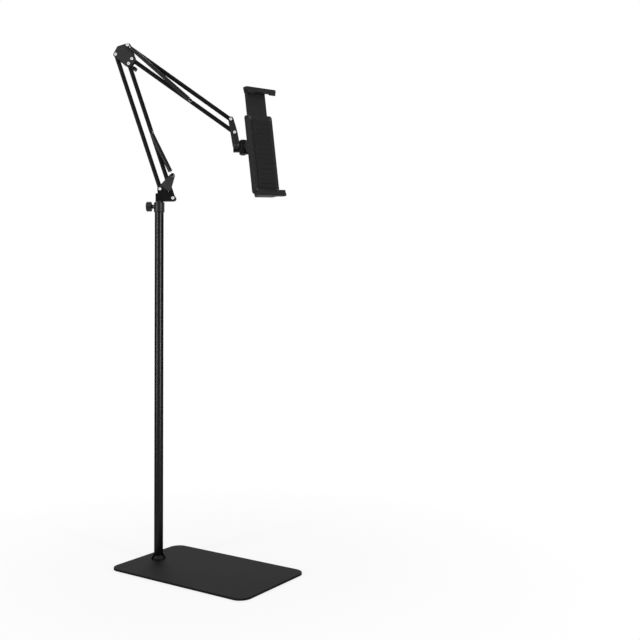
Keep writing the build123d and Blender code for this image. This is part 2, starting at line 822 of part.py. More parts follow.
with BuildPart() as lower_front_bushes:
    add_bushes(front_pivot, elbow_front)
lower_front_bushes.part.label = "lower_front_bushes"
export_step(lower_front_bushes.part, "parts/lower_front_bushes.step")

# Stud on the front tube, and the spring between it and the ear
stud_foot = bar_radius - bar_wall
stud_shoulder = bar_radius + running_clearance
with BuildPart(arm_plane) as lower_spring_stud:
    add_spring_stud(lower_stud, stud_foot, stud_shoulder, lower_spring_out)
lower_spring_stud.part.label = "lower_spring_stud"
export_step(lower_spring_stud.part, "parts/lower_spring_stud.step")

with BuildPart() as lower_spring:
    add(tension_spring(ear, lower_stud, lower_spring_out, lower_sleeve_diameter))
lower_spring.part.label = "lower_spring"
export_step(lower_spring.part, "parts/lower_spring.step")

with BuildPart() as lower_spring_sleeve:
    add(spring_sleeve(ear, lower_stud, lower_spring_out, lower_sleeve_diameter))
lower_spring_sleeve.part.label = "lower_spring_sleeve"
export_step(lower_spring_sleeve.part, "parts/lower_spring_sleeve.step")

elbow_pivots = [elbow_rear, elbow_front, elbow_top, elbow_low]
elbow_rounds = [
    (elbow_rear, elbow_rear_radius),
    (elbow_corner, elbow_corner_radius),
    (elbow_top, pivot_boss_radius),
    (elbow_low, elbow_low_radius),
    (elbow_front, pivot_boss_radius),
]

# Elbow plates
with BuildPart() as elbow_plate_near:
    with BuildSketch(arm_plane.offset(plate_inner)):
        hull_of(*elbow_rounds)
    extrude(amount=plate_thickness)
    with BuildSketch(arm_plane):
        with Locations(*elbow_pivots):
            Circle(bolt_hole)
    extrude(amount=stiffener_outer, mode=Mode.SUBTRACT)
elbow_plate_near.part.label = "elbow_plate_near"
export_step(elbow_plate_near.part, "parts/elbow_plate_near.step")

with BuildPart() as elbow_plate_far:
    with BuildSketch(arm_plane.offset(-plate_outer)):
        hull_of(*elbow_rounds)
    extrude(amount=plate_thickness)
    with BuildSketch(arm_plane):
        with Locations(*elbow_pivots):
            Circle(bolt_hole)
    extrude(amount=-stiffener_outer, mode=Mode.SUBTRACT)
elbow_plate_far.part.label = "elbow_plate_far"
export_step(elbow_plate_far.part, "parts/elbow_plate_far.step")

# Elbow bolts; the top one is longer and carries the eye of the upper spring
upper_eye_top = upper_spring_out + wire_gap
with BuildPart(arm_plane) as elbow_bolts:
    add_bolts([elbow_rear, elbow_low], plate_outer, -nut_outer, bolt_head_diameter)
    add_bolts([elbow_top], upper_eye_top, -nut_outer, spring_bolt_head_diameter)
    with Locations((elbow_top[0], elbow_top[1], plate_outer)):
        Cylinder(
            spring_shoulder_diameter / 2,
            upper_spring_out - wire_gap - plate_outer,
            align=(Align.CENTER, Align.CENTER, Align.MIN),
        )
elbow_bolts.part.label = "elbow_bolts"
export_step(elbow_bolts.part, "parts/elbow_bolts.step")

with BuildPart(arm_plane) as elbow_lock_nuts:
    add_nuts([elbow_rear, elbow_top, elbow_low])
elbow_lock_nuts.part.label = "elbow_lock_nuts"
export_step(elbow_lock_nuts.part, "parts/elbow_lock_nuts.step")

# Clamp bolt of the elbow and the wing nut on its far end
wing_face = nut_outer + wing_nut_gap
wing_hub_end = wing_face + wing_hub_rise
clamp_bolt_end = wing_hub_end + clamp_bolt_beyond_hub
with BuildPart(arm_plane) as elbow_clamp_bolt:
    add_bolts([elbow_front], plate_outer, -clamp_bolt_end, bolt_head_diameter)
elbow_clamp_bolt.part.label = "elbow_clamp_bolt"
export_step(elbow_clamp_bolt.part, "parts/elbow_clamp_bolt.step")

wing_origin = arm_plane.from_local_coords(Vector(elbow_front[0], elbow_front[1], 0))
wing_reference = arm_plane.from_local_coords(Vector(*step(elbow_front, wing_reach, wing_slope)))
wing_plane = Plane(origin=wing_origin, x_dir=wing_reference - wing_origin, z_dir=-arm_plane.z_dir)
blade_plane = Plane(origin=wing_origin, x_dir=wing_plane.x_dir, z_dir=-wing_plane.y_dir)
with BuildPart(wing_plane) as elbow_wing_nut:
    with BuildSketch(wing_plane.offset(plate_outer + wing_hub_gap)):
        Circle(wing_hub_diameter / 2)
    extrude(amount=wing_hub_end - plate_outer - wing_hub_gap, taper=3)
    for side in (1, -1):
        with BuildSketch(blade_plane.offset(-wing_thickness / 2)):
            with BuildLine():
                Polyline(
                    (side * (wing_hub_diameter / 2 - wing_flare), wing_face),
                    (side * (wing_reach - wing_flare), wing_face),
                    (side * wing_reach, wing_face + wing_width),
                    (side * (wing_reach - wing_flare - wing_tip_radius), wing_face + wing_width),
                    (side * wing_root, wing_hub_end),
                    close=True,
                )
            make_face()
            fillet(vertices().sort_by(Axis.Y)[-2:], wing_flare / 2)
        extrude(amount=wing_thickness)
    with BuildSketch(wing_plane):
        Circle(bolt_hole)
    extrude(amount=clamp_bolt_end, mode=Mode.SUBTRACT)
elbow_wing_nut.part.label = "elbow_wing_nut"
export_step(elbow_wing_nut.part, "parts/elbow_wing_nut.step")

# Upper arm: top tube and low tube with their bushes
with BuildPart() as upper_top_tube:
    add(bar(elbow_top, end_top))
upper_top_tube.part.label = "upper_top_tube"
export_step(upper_top_tube.part, "parts/upper_top_tube.step")

with BuildPart() as upper_top_bushes:
    add_bushes(elbow_top, end_top)
upper_top_bushes.part.label = "upper_top_bushes"
export_step(upper_top_bushes.part, "parts/upper_top_bushes.step")

with BuildPart() as upper_low_tube:
    add(bar(elbow_low, end_low))
    with BuildSketch(arm_plane):
        with Locations(upper_stud):
            Circle(bolt_radius)
    extrude(amount=bar_diameter, mode=Mode.SUBTRACT)
upper_low_tube.part.label = "upper_low_tube"
export_step(upper_low_tube.part, "parts/upper_low_tube.step")

with BuildPart() as upper_low_bushes:
    add_bushes(elbow_low, end_low)
upper_low_bushes.part.label = "upper_low_bushes"
export_step(upper_low_bushes.part, "parts/upper_low_bushes.step")

# Upper spring between the elbow's top bolt and a stud on the low tube
with BuildPart(arm_plane) as upper_spring_stud:
    add_spring_stud(upper_stud, stud_foot, stud_shoulder, upper_spring_out)
upper_spring_stud.part.label = "upper_spring_stud"
export_step(upper_spring_stud.part, "parts/upper_spring_stud.step")

with BuildPart() as upper_spring:
    add(tension_spring(elbow_top, upper_stud, upper_spring_out, upper_sleeve_diameter))
upper_spring.part.label = "upper_spring"
export_step(upper_spring.part, "parts/upper_spring.step")

with BuildPart() as upper_spring_sleeve:
    add(spring_sleeve(elbow_top, upper_stud, upper_spring_out, upper_sleeve_diameter))
upper_spring_sleeve.part.label = "upper_spring_sleeve"
export_step(upper_spring_sleeve.part, "parts/upper_spring_sleeve.step")

end_pivots = [end_top, end_low]
end_rounds = [
    (end_top, pivot_boss_radius),
    (end_low, pivot_boss_radius),
    (end_foot, end_foot_radius),
]

# Cheeks of the end bracket
with BuildPart() as end_cheek_near:
    with BuildSketch(arm_plane.offset(plate_inner)):
        hull_of(*end_rounds)
    extrude(amount=plate_thickness)
    with BuildSketch(arm_plane):
        with Locations(*end_pivots):
            Circle(bolt_hole)
        with Locations(*end_rivets_at):
            Circle(rivet_radius)
    extrude(amount=stiffener_outer, mode=Mode.SUBTRACT)
end_cheek_near.part.label = "end_cheek_near"
export_step(end_cheek_near.part, "parts/end_cheek_near.step")

with BuildPart() as end_cheek_far:
    with BuildSketch(arm_plane.offset(-plate_outer)):
        hull_of(*end_rounds)
    extrude(amount=plate_thickness)
    with BuildSketch(arm_plane):
        with Locations(*end_pivots):
            Circle(bolt_hole)
        with Locations(*end_rivets_at):
            Circle(rivet_radius)
    extrude(amount=-stiffener_outer, mode=Mode.SUBTRACT)
end_cheek_far.part.label = "end_cheek_far"
export_step(end_cheek_far.part, "parts/end_cheek_far.step")

with BuildPart(arm_plane) as end_bolts:
    add_bolts(end_pivots, plate_outer, -nut_outer, bolt_head_diameter)
end_bolts.part.label = "end_bolts"
export_step(end_bolts.part, "parts/end_bolts.step")

with BuildPart(arm_plane) as end_lock_nuts:
    add_nuts(end_pivots)
end_lock_nuts.part.label = "end_lock_nuts"
export_step(end_lock_nuts.part, "parts/end_lock_nuts.step")

# Swivel block between the cheeks, with an upright boss for the fork's pin
with BuildPart() as swivel_block:
    with BuildSketch(arm_plane.offset(-plate_inner)):
        with Locations((end_foot[0] - block_behind_foot, block_foot)):
            Rectangle(block_behind_foot + swivel_out, block_height, align=(Align.MIN, Align.MIN))
    extrude(amount=2 * plate_inner)
    with BuildSketch(head_plane.offset(-block_height / 2)):
        Circle(swivel_boss_diameter / 2)
    extrude(amount=block_height)
    with BuildSketch(head_plane.offset(-block_height / 2)):
        Circle(fork_pin_diameter / 2 + running_clearance)
    extrude(amount=block_height, mode=Mode.SUBTRACT)
    with BuildSketch(arm_plane):
        with Locations(*end_rivets_at):
            Circle(rivet_radius)
    extrude(amount=swivel_boss_diameter, both=True, mode=Mode.SUBTRACT)
swivel_block.part.label = "swivel_block"
export_step(swivel_block.part, "parts/swivel_block.step")

with BuildPart() as end_rivets:
    with BuildSketch(arm_plane.offset(-plate_outer)):
        with Locations(*end_rivets_at):
            Circle(rivet_radius)
    extrude(amount=2 * plate_outer)
    with BuildSketch(arm_plane.offset(plate_outer)):
        with Locations(*end_rivets_at):
            Circle(rivet_head_diameter / 2)
    extrude(amount=rivet_head_height, taper=20)
    with BuildSketch(arm_plane.offset(-plate_outer)):
        with Locations(*end_rivets_at):
            Circle(rivet_head_diameter / 2)
    extrude(amount=-rivet_head_height, taper=20)
end_rivets.part.label = "end_rivets"
export_step(end_rivets.part, "parts/end_rivets.step")

# Swivel fork: two lugs round the block's boss, joined by a web that holds the stem
fork_plane = head_plane.offset(fork_foot - swivel_axis[1])
with BuildPart() as swivel_fork:
    with BuildSketch(fork_plane):
        Circle(fork_lug_radius)
        with Locations((web_outer / 2, 0)):
            Rectangle(web_outer, fork_web_width)
    extrude(amount=fork_height)
    fillet(swivel_fork.edges().filter_by(Axis.Z), fork_web_gap)
    with BuildSketch(fork_plane.offset(fork_lug_height)):
        Circle(web_inner)
        with Locations((fork_web_start, 0)):
            Rectangle(2 * web_outer, 2 * web_outer, align=(Align.MAX, Align.CENTER))
    extrude(amount=fork_height - 2 * fork_lug_height, mode=Mode.SUBTRACT)
    with BuildSketch(fork_plane):
        Circle(fork_pin_diameter / 2)
    extrude(amount=fork_height, mode=Mode.SUBTRACT)
    with BuildSketch(stem_plane):
        Circle(stem_diameter / 2)
    extrude(amount=web_outer + cut_overrun, mode=Mode.SUBTRACT)
swivel_fork.part.label = "swivel_fork"
export_step(swivel_fork.part, "parts/swivel_fork.step")

# Headed pin through the fork and the block
with BuildPart() as fork_pin:
    with BuildSketch(fork_plane):
        Circle(fork_pin_diameter / 2)
    extrude(amount=fork_height)
    with BuildSketch(fork_plane):
        Circle(pin_head_diameter / 2)
    extrude(amount=-pin_head_height)
    with BuildSketch(fork_plane.offset(fork_height)):
        Circle(pin_head_diameter / 2)
    extrude(amount=pin_head_height)
    ends = fork_pin.faces().sort_by(Axis.Z)
    chamfer([ends[0].edges(), ends[-1].edges()], pin_head_height / 3)
fork_pin.part.label = "fork_pin"
export_step(fork_pin.part, "parts/fork_pin.step")

# Stem with the ball on its end
with BuildPart() as ball_stem:
    with BuildSketch(stem_plane.offset(web_inner + running_clearance)):
        Circle(stem_diameter / 2)
    extrude(amount=stem_reach - web_inner - running_clearance)
    with Locations(ball_centre):
        Sphere(ball_radius)
ball_stem.part.label = "ball_stem"
export_step(ball_stem.part, "parts/ball_stem.step")

# Liner round the ball: a cup that is open towards the stem
with BuildPart() as ball_liner:
    with BuildSketch(section_plane):
        with BuildLine():
            CenterArc((0, 0), liner_outer, 90, 90 + degrees(asin(liner_cut / liner_outer)))
            CenterArc((0, 0), liner_inner, 90, 90 + degrees(asin(liner_cut / liner_inner)))
            Line((0, liner_inner), (0, liner_outer))
            Line(
                (-sqrt(liner_inner**2 - liner_cut**2), -liner_cut),
                (-sqrt(liner_outer**2 - liner_cut**2), -liner_cut),
            )
        make_face()
    revolve(axis=Axis(ball_centre, clamp_plane.z_dir))
ball_liner.part.label = "ball_liner"
export_step(ball_liner.part, "parts/ball_liner.step")

# Lobed clamp nut on the boss of the clamp
with BuildPart() as clamp_nut:
    with BuildSketch(clamp_plane.offset(-clamp_nut_rear)):
        Circle(clamp_nut_radius - clamp_nut_lobe_radius / 3)
        with PolarLocations(clamp_nut_radius - clamp_nut_lobe_radius, clamp_nut_lobes):
            Circle(clamp_nut_lobe_radius)
    extrude(amount=clamp_nut_rear + clamp_nut_front)
    fillet(clamp_nut.faces().filter_by(clamp_plane).edges(), clamp_nut_round)
    with BuildSketch(clamp_plane.offset(-boss_rear)):
        Circle(boss_radius + side_clearance)
    extrude(amount=boss_rear + clamp_nut_front, mode=Mode.SUBTRACT)
    lip_radius = sqrt(seat_radius**2 - liner_cut**2)
    with BuildSketch(section_plane):
        with BuildLine():
            Polyline(
                (0, -liner_cut),
                (-lip_radius, -liner_cut),
                (-clamp_nut_flare_radius, -clamp_nut_rear),
                (0, -clamp_nut_rear),
                close=True,
            )
        make_face()
    revolve(axis=Axis(ball_centre, clamp_plane.z_dir), mode=Mode.SUBTRACT)
    with Locations(ball_centre):
        Sphere(seat_radius, mode=Mode.SUBTRACT)
clamp_nut.part.label = "clamp_nut"
export_step(clamp_nut.part, "parts/clamp_nut.step")

# Back shell: a channel for the slide, with the boss and its square plate on the back
with BuildPart() as holder_back_shell:
    with BuildSketch(clamp_plane.offset(body_rear)):
        with Locations((0, body_middle)):
            RectangleRounded(body_width, body_height, body_corner_radius)
    extrude(amount=slot_top - body_rear)
    back = holder_back_shell.faces().sort_by(lambda face: clamp_plane.to_local_coords(face.center()).Z)[0]
    chamfer(back.edges(), body_chamfer)
    with BuildSketch(clamp_plane.offset(body_rear)):
        RectangleRounded(boss_plate_side, boss_plate_side, boss_plate_chamfer)
    extrude(amount=-boss_plate_thickness, taper=20)
    with BuildSketch(clamp_plane.offset(-boss_rear)):
        Circle(boss_radius)
    extrude(amount=body_rear + boss_rear)
    with Locations(ball_centre):
        Sphere(seat_radius, mode=Mode.SUBTRACT)
    with BuildSketch(clamp_plane.offset(slot_floor)):
        with Locations((0, body_middle)):
            Rectangle(slot_width, body_height + 2 * cut_overrun)
    extrude(amount=slot_depth, mode=Mode.SUBTRACT)
    with BuildSketch(clamp_plane.offset(cover_front)):
        with Locations(*screw_places):
            Circle(screw_diameter / 2)
    extrude(amount=-screw_length, mode=Mode.SUBTRACT)
holder_back_shell.part.label = "holder_back_shell"
export_step(holder_back_shell.part, "parts/holder_back_shell.step")

# Front cover over the channel
with BuildPart(clamp_plane) as holder_front_cover:
    with BuildSketch(clamp_plane.offset(slot_top)):
        with Locations((0, body_middle)):
            RectangleRounded(body_width, body_height, body_corner_radius)
    extrude(amount=cover_thickness)
    fronts = holder_front_cover.faces().sort_by(lambda face: clamp_plane.to_local_coords(face.center()).Z)
    fillet(fronts[-1].edges(), cover_round)
    with Locations(*[(across, height, cover_front) for across, height in screw_places]):
        CounterSinkHole(
            screw_diameter / 2 + running_clearance,
            screw_head_diameter / 2 + running_clearance,
            depth=cover_thickness + cut_overrun,
            counter_sink_angle=90,
        )
holder_front_cover.part.label = "holder_front_cover"
export_step(holder_front_cover.part, "parts/holder_front_cover.step")

# Countersunk screws that hold the cover
screw_cone = (screw_head_diameter - screw_diameter) / 2
with BuildPart() as cover_screws:
    with BuildSketch(clamp_plane.offset(cover_front)):
        with Locations(*screw_places):
            Circle(screw_head_diameter / 2)
    extrude(amount=-screw_cone, taper=45)
    with BuildSketch(clamp_plane.offset(cover_front)):
        with Locations(*screw_places):
            Circle(screw_diameter / 2)
    extrude(amount=-screw_length)
    with BuildSketch(clamp_plane.offset(cover_front)):
        with Locations(*screw_places):
            RegularPolygon(screw_socket / 2, 6, major_radius=False)
    extrude(amount=-screw_socket_depth, mode=Mode.SUBTRACT)
cover_screws.part.label = "cover_screws"
export_step(cover_screws.part, "parts/cover_screws.step")

# Grip pad on the cover, with shallow grooves across it
pad_height = body_height - 2 * pad_margin
groove_count = int(pad_height / pad_groove_pitch) - 1
with BuildPart() as grip_pad:
    with BuildSketch(clamp_plane.offset(cover_front)):
        with Locations((0, body_middle)):
            RectangleRounded(pad_width, pad_height, pad_corner_radius)
    extrude(amount=pad_thickness)
    with BuildSketch(clamp_plane.offset(pad_front)):
        with Locations((0, body_middle)):
            with GridLocations(0, pad_groove_pitch, 1, groove_count):
                Rectangle(pad_width - 2 * pad_corner_radius, pad_groove_width)
    extrude(amount=-pad_groove_depth, mode=Mode.SUBTRACT)
grip_pad.part.label = "grip_pad"
export_step(grip_pad.part, "parts/grip_pad.step")

jaw_bar_rear = cover_front + slide_clearance
lip_span = lip_height + lip_hook_height


def add_jaw(face, direction):
    """A jaw beyond a face of the clamp: a bar on a neck, with a lip that ends in two hooks."""
    inner = face + direction * jaw_pad_thickness
    jaw_plane = Plane(
        origin=clamp_plane.from_local_coords(Vector(0, inner, 0)),
        x_dir=clamp_plane.x_dir,
        z_dir=clamp_plane.y_dir * direction,
    )
    front = -direction
    with BuildSketch(jaw_plane) as outline:
        with Locations((0, front * (jaw_bar_rear + lip_front) / 2)):
            RectangleRounded(jaw_width, lip_front - jaw_bar_rear, jaw_corner_radius)
        with Locations((0, front * (jaw_rear + jaw_bar_rear + jaw_corner_radius) / 2)):
            Rectangle(slide_width, jaw_bar_rear + jaw_corner_radius - jaw_rear)
    extrude(outline.sketch, amount=jaw_thickness)
    with BuildSketch(clamp_plane.offset(lip_rear)) as lip:
        with Locations((0, inner + direction * jaw_thickness / 2)):
            Rectangle(jaw_width - 2 * jaw_corner_radius, jaw_thickness)
        with Locations((0, inner - direction * lip_height / 2)):
            Rectangle(jaw_width - 2 * jaw_corner_radius, lip_height)
        for side in (-1, 1):
            middle = side * (jaw_width / 2 - jaw_corner_radius - lip_hook_width / 2)
            with Locations((middle, inner - direction * (lip_span - lip_hook_height / 2))):
                RectangleRounded(lip_hook_width, lip_hook_height + lip_hook_radius / 2, lip_hook_radius / 3)
    extrude(lip.sketch, amount=lip_thickness)


# Lower jaw with the tongue that is held in the channel
with BuildPart() as lower_jaw:
    add_jaw(-lower_jaw_face, -1)
    with BuildSketch(clamp_plane.offset(slot_floor)):
        with Locations((0, body_foot + tongue_length / 2)):
            Rectangle(slide_width, tongue_length)
    extrude(amount=slot_depth)
lower_jaw.part.label = "lower_jaw"
export_step(lower_jaw.part, "parts/lower_jaw.step")

# Rubber pads on the jaws
jaw_pad_depth = lip_rear - jaw_bar_rear
with BuildPart() as lower_jaw_pad:
    with BuildSketch(clamp_plane.offset(jaw_bar_rear)):
        with Locations((0, body_foot)):
            Rectangle(jaw_pad_width, jaw_pad_thickness, align=(Align.CENTER, Align.MIN))
    extrude(amount=jaw_pad_depth)
lower_jaw_pad.part.label = "lower_jaw_pad"
export_step(lower_jaw_pad.part, "parts/lower_jaw_pad.step")

with BuildPart() as upper_jaw_pad:
    with BuildSketch(clamp_plane.offset(jaw_bar_rear)):
        with Locations((0, upper_jaw_face)):
            Rectangle(jaw_pad_width, jaw_pad_thickness, align=(Align.CENTER, Align.MIN))
    extrude(amount=jaw_pad_depth)
upper_jaw_pad.part.label = "upper_jaw_pad"
export_step(upper_jaw_pad.part, "parts/upper_jaw_pad.step")

# Ribbed slide that carries the upper jaw
slide_top = upper_jaw_face + jaw_pad_thickness
with BuildPart() as jaw_slide:
    add_jaw(upper_jaw_face, 1)
    with BuildSketch(clamp_plane.offset(slot_floor + slide_clearance)):
        with Locations((0, slide_top)):
            Rectangle(slide_width, slide_length, align=(Align.CENTER, Align.MAX))
    extrude(amount=slot_depth - 2 * slide_clearance)
    with BuildSketch(clamp_plane.offset(slot_floor + slide_clearance)):
        with Locations((0, slide_top - ridge_from_jaw - (ridge_count - 1) * ridge_pitch / 2)):
            with GridLocations(0, ridge_pitch, 1, ridge_count):
                Rectangle(slide_width - 2 * ridge_side_margin, ridge_width)
    extrude(amount=ridge_depth, mode=Mode.SUBTRACT)
jaw_slide.part.label = "jaw_slide"
export_step(jaw_slide.part, "parts/jaw_slide.step")
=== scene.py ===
import json
from math import cos, pi, radians, sin

import bmesh
import bpy
import numpy as np
from mathutils import Matrix, Vector

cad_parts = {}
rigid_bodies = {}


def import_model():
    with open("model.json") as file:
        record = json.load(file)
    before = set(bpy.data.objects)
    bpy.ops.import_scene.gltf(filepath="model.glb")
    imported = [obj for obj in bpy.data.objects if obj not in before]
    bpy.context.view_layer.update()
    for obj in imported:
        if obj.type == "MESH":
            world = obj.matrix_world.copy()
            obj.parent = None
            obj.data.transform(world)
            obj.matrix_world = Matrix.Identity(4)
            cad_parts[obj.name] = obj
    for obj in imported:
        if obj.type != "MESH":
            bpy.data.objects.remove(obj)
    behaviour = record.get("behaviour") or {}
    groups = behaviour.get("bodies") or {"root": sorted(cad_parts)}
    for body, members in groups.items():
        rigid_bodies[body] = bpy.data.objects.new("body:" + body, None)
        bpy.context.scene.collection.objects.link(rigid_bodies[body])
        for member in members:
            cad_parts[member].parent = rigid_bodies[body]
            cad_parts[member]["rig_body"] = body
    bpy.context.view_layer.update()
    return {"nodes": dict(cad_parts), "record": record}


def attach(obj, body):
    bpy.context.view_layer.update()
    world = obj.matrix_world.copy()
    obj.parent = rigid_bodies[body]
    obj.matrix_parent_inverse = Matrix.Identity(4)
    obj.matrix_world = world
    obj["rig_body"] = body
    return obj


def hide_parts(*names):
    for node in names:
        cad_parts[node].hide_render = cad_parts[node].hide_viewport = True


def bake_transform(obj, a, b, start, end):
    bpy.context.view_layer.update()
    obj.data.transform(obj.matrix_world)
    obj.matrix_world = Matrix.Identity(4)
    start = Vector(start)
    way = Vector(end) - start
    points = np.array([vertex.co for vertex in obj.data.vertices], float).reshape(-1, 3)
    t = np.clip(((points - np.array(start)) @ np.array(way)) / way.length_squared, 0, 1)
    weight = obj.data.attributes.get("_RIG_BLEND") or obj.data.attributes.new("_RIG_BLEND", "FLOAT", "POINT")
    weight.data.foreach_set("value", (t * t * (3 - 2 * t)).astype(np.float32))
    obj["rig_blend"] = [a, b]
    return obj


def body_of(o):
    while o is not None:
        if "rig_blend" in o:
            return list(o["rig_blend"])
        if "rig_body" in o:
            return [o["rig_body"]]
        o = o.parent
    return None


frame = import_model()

# The stand's own sizes, in metres and degrees, as its structure has them. Places in the arm's
# plane are (out from the pole, height).
POLE_X = -0.1155
ARM_AZIMUTH = 37.0
REAR_PIVOT = (0.0022, 0.675)
BRACKET_SPACING, BRACKET_SLOPE = 0.0286, -35.0
EAR = (0.0245, 0.7)
LOWER_LENGTH, LOWER_SLOPE = 0.257, 108.2
LOWER_STUD_ALONG, LOWER_SPRING_OUT, LOWER_SLEEVE = 0.1244, 0.0085, 0.004
ELBOW_OUT, ELBOW_RISE = 0.022, 0.0163
ELBOW_SPACING, ELBOW_SLOPE = 0.025, -73.5
UPPER_SLOPE = -35.2
UPPER_STUD_ALONG, UPPER_SPRING_OUT, UPPER_SLEEVE = 0.13, 0.0099, 0.0035
KNOB_HEIGHT, KNOB_AZIMUTH = 0.6436, 215.0
BALL_CENTRE = (0.033529, 0.087252, 0.753046)
HEAD_AZIMUTH, CLAMP_TILT, CLAMP_ROLL = -8.6, 4.0, 4.5

# Springs: the wire's and the eyes' radii, the sleeve's wall, and how far the wound body and its
# sleeve stay from the two studs
WIRE, EYE = 0.0006, 0.0027
SLEEVE_WALL = 0.0009
HOOK_GAP, STUD_GAP = 0.0076, 0.0036
COIL_PITCH = 2.15 * WIRE
POINTS_PER_TURN = 20
EYE_START, EYE_END = 52, 335
SLEEVE_LIP = 0.0004
BEND_START, BEND_END = 0.1, 0.7

# Knob and clamp nut: profiles of (height, radius, draw of the flutes) in millimetres
KNOB_LOBES, KNOB_EASE = 8, 0.0006
KNOB_PROFILE = (
    (18.3, 0, 0), (18.3, 2.5, 0), (9.75, 2.5, 0), (9.75, 3.8, 0), (12.4, 3.8, 0),
    (13.2, 5.6, 0), (13.2, 7.7, 0.7), (14.1, 9.0, 1.2), (22.4, 9.0, 1.2), (23.4, 7.9, 0.7),
    (23.4, 5.4, 0), (22.8, 4.8, 0), (22.8, 3.0, 0), (23.1, 2.6, 0), (23.1, 0, 0),
)
NUT_LOBES, NUT_EASE = 10, 0.0005
NUT_RIM = (
    (-7.5, 13.0, 0), (-7.5, 15.0, 0.8), (-6.5, 16.0, 1.5), (5.0, 16.0, 1.5), (6.0, 15.0, 0.8),
    (6.0, 12.1, 0), (-1.0, 12.1, 0),
)
NUT_SEAT_RADIUS, NUT_SEAT_TOP, NUT_SEAT_FOOT = 10.05, -1.0, -5.0

# Rubber pads: width, height, corner, thickness, groove pitch and groove depth; and where each
# stands from the ball's centre, up the clamp and out of it
GRIP_PAD = (0.044, 0.1232, 0.004, 0.0015, 0.009, 0.0007)
JAW_PAD = (0.066, 0.0082, 0.001, 0.0012, 0.002, 0.0004)
GRIP_PLACE = (0, -0.0201, 0.025)
LOW_JAW_PLACE, HIGH_JAW_PLACE = (0, -0.0907, 0.0293), (0, 0.0912, 0.0293)

# Rounded edges of the structure pieces that get them: radius and nodes
ROUNDED = (
    (
        0.0003,
        (
            "bracket_cheek_near", "bracket_cheek_far", "bracket_stiffener", "elbow_plate_near",
            "elbow_plate_far", "end_cheek_near", "end_cheek_far",
        ),
    ),
    (0.0005, ("elbow_wing_nut",)),
    (0.0006, ("swivel_block", "swivel_fork", "lower_jaw")),
    (0.0005, ("jaw_slide",)),
)
# In degrees: edges sharper than the first are shaded sharp, those sharper than the second are
# rounded, and faces flatter than the third are one face
SHARP_ANGLE, ROUNDED_ANGLE, FLAT_ANGLE = 38, 50, 0.8

# The camera, fitted to the photograph: place in metres, turn in radians, lens and the picture's
# rise in pixels of 640
CAMERA_PLACE = (0.99789, -1.14633, 0.47237)
CAMERA_YAW, CAMERA_PITCH, CAMERA_ROLL = 0.58628, -0.01213, -0.00032
CAMERA_FOCUS = 862.15
CAMERA_RISE = 30.0
PHOTO_WIDTH = 640.0
SENSOR_WIDTH = 36.0

# Lamps: azimuth, elevation, distance, width, height and power, round the middle of the stand
STAND_MIDDLE = (-0.05, 0, 0.5)
LAMPS = {
    "strip_left": (-102.0, 2.0, 2.2, 0.3, 1.3, 32.0),
    "strip_right": (-8.0, 2.0, 2.2, 0.3, 1.3, 32.0),
    "soft_back": (131.0, 30.0, 2.4, 1.8, 1.6, 26.0),
    "overhead": (-60.0, 78.0, 2.2, 1.6, 1.6, 16.0),
}

# Floor: half its width, and how it pales from the stand's shadow to the backdrop
FLOOR_REACH = 30
PALE_FROM, PALE_TO, PALE_LEAST = 0.2, 0.7, 0.78


def unit(vector):
    """A vector of length one."""
    vector = np.asarray(vector, float)
    return vector / np.linalg.norm(vector, axis=-1, keepdims=True)


class Station:
    """A place on the stand: an origin and three directions. Points given along, up and across
    become origin + along * x + up * y + across * z, where up is across x along."""

    def __init__(self, origin, along, across):
        self.origin = np.array(origin, float)
        self.along = unit(along)
        self.across = unit(across)
        self.up = np.cross(self.across, self.along)

    def at(self, points):
        points = np.asarray(points, float)
        return (
            self.origin
            + points[..., :1] * self.along
            + points[..., 1:2] * self.up
            + points[..., 2:] * self.across
        )


def sloped(point, length, slope):
    """The point a length away from another in the arm's plane, at a slope in degrees."""
    return (point[0] + length * cos(radians(slope)), point[1] + length * sin(radians(slope)))


ARM = Station(
    (POLE_X, 0, 0),
    (cos(radians(ARM_AZIMUTH)), sin(radians(ARM_AZIMUTH)), 0),
    (sin(radians(ARM_AZIMUTH)), -cos(radians(ARM_AZIMUTH)), 0),
)
KNOB = Station(
    (POLE_X, 0, KNOB_HEIGHT),
    (0, 0, 1),
    (cos(radians(KNOB_AZIMUTH)), sin(radians(KNOB_AZIMUTH)), 0),
)
LEVEL_CLAMP = Station(
    (0, 0, 0),
    (-sin(radians(HEAD_AZIMUTH)), cos(radians(HEAD_AZIMUTH)), 0),
    (
        cos(radians(HEAD_AZIMUTH)) * cos(radians(CLAMP_TILT)),
        sin(radians(HEAD_AZIMUTH)) * cos(radians(CLAMP_TILT)),
        sin(radians(CLAMP_TILT)),
    ),
)
CLAMP = Station(
    BALL_CENTRE,
    LEVEL_CLAMP.at([cos(radians(CLAMP_ROLL)), sin(radians(CLAMP_ROLL)), 0]),
    LEVEL_CLAMP.across,
)
FRONT_PIVOT = sloped(REAR_PIVOT, BRACKET_SPACING, BRACKET_SLOPE)
LOWER_STUD = sloped(FRONT_PIVOT, LOWER_STUD_ALONG, LOWER_SLOPE)
ELBOW_REAR = sloped(REAR_PIVOT, LOWER_LENGTH, LOWER_SLOPE)
ELBOW_TOP = (ELBOW_REAR[0] + ELBOW_OUT, ELBOW_REAR[1] + ELBOW_RISE)
ELBOW_LOW = sloped(ELBOW_TOP, ELBOW_SPACING, ELBOW_SLOPE)
UPPER_STUD = sloped(ELBOW_LOW, UPPER_STUD_ALONG, UPPER_SLOPE)


# Finishes


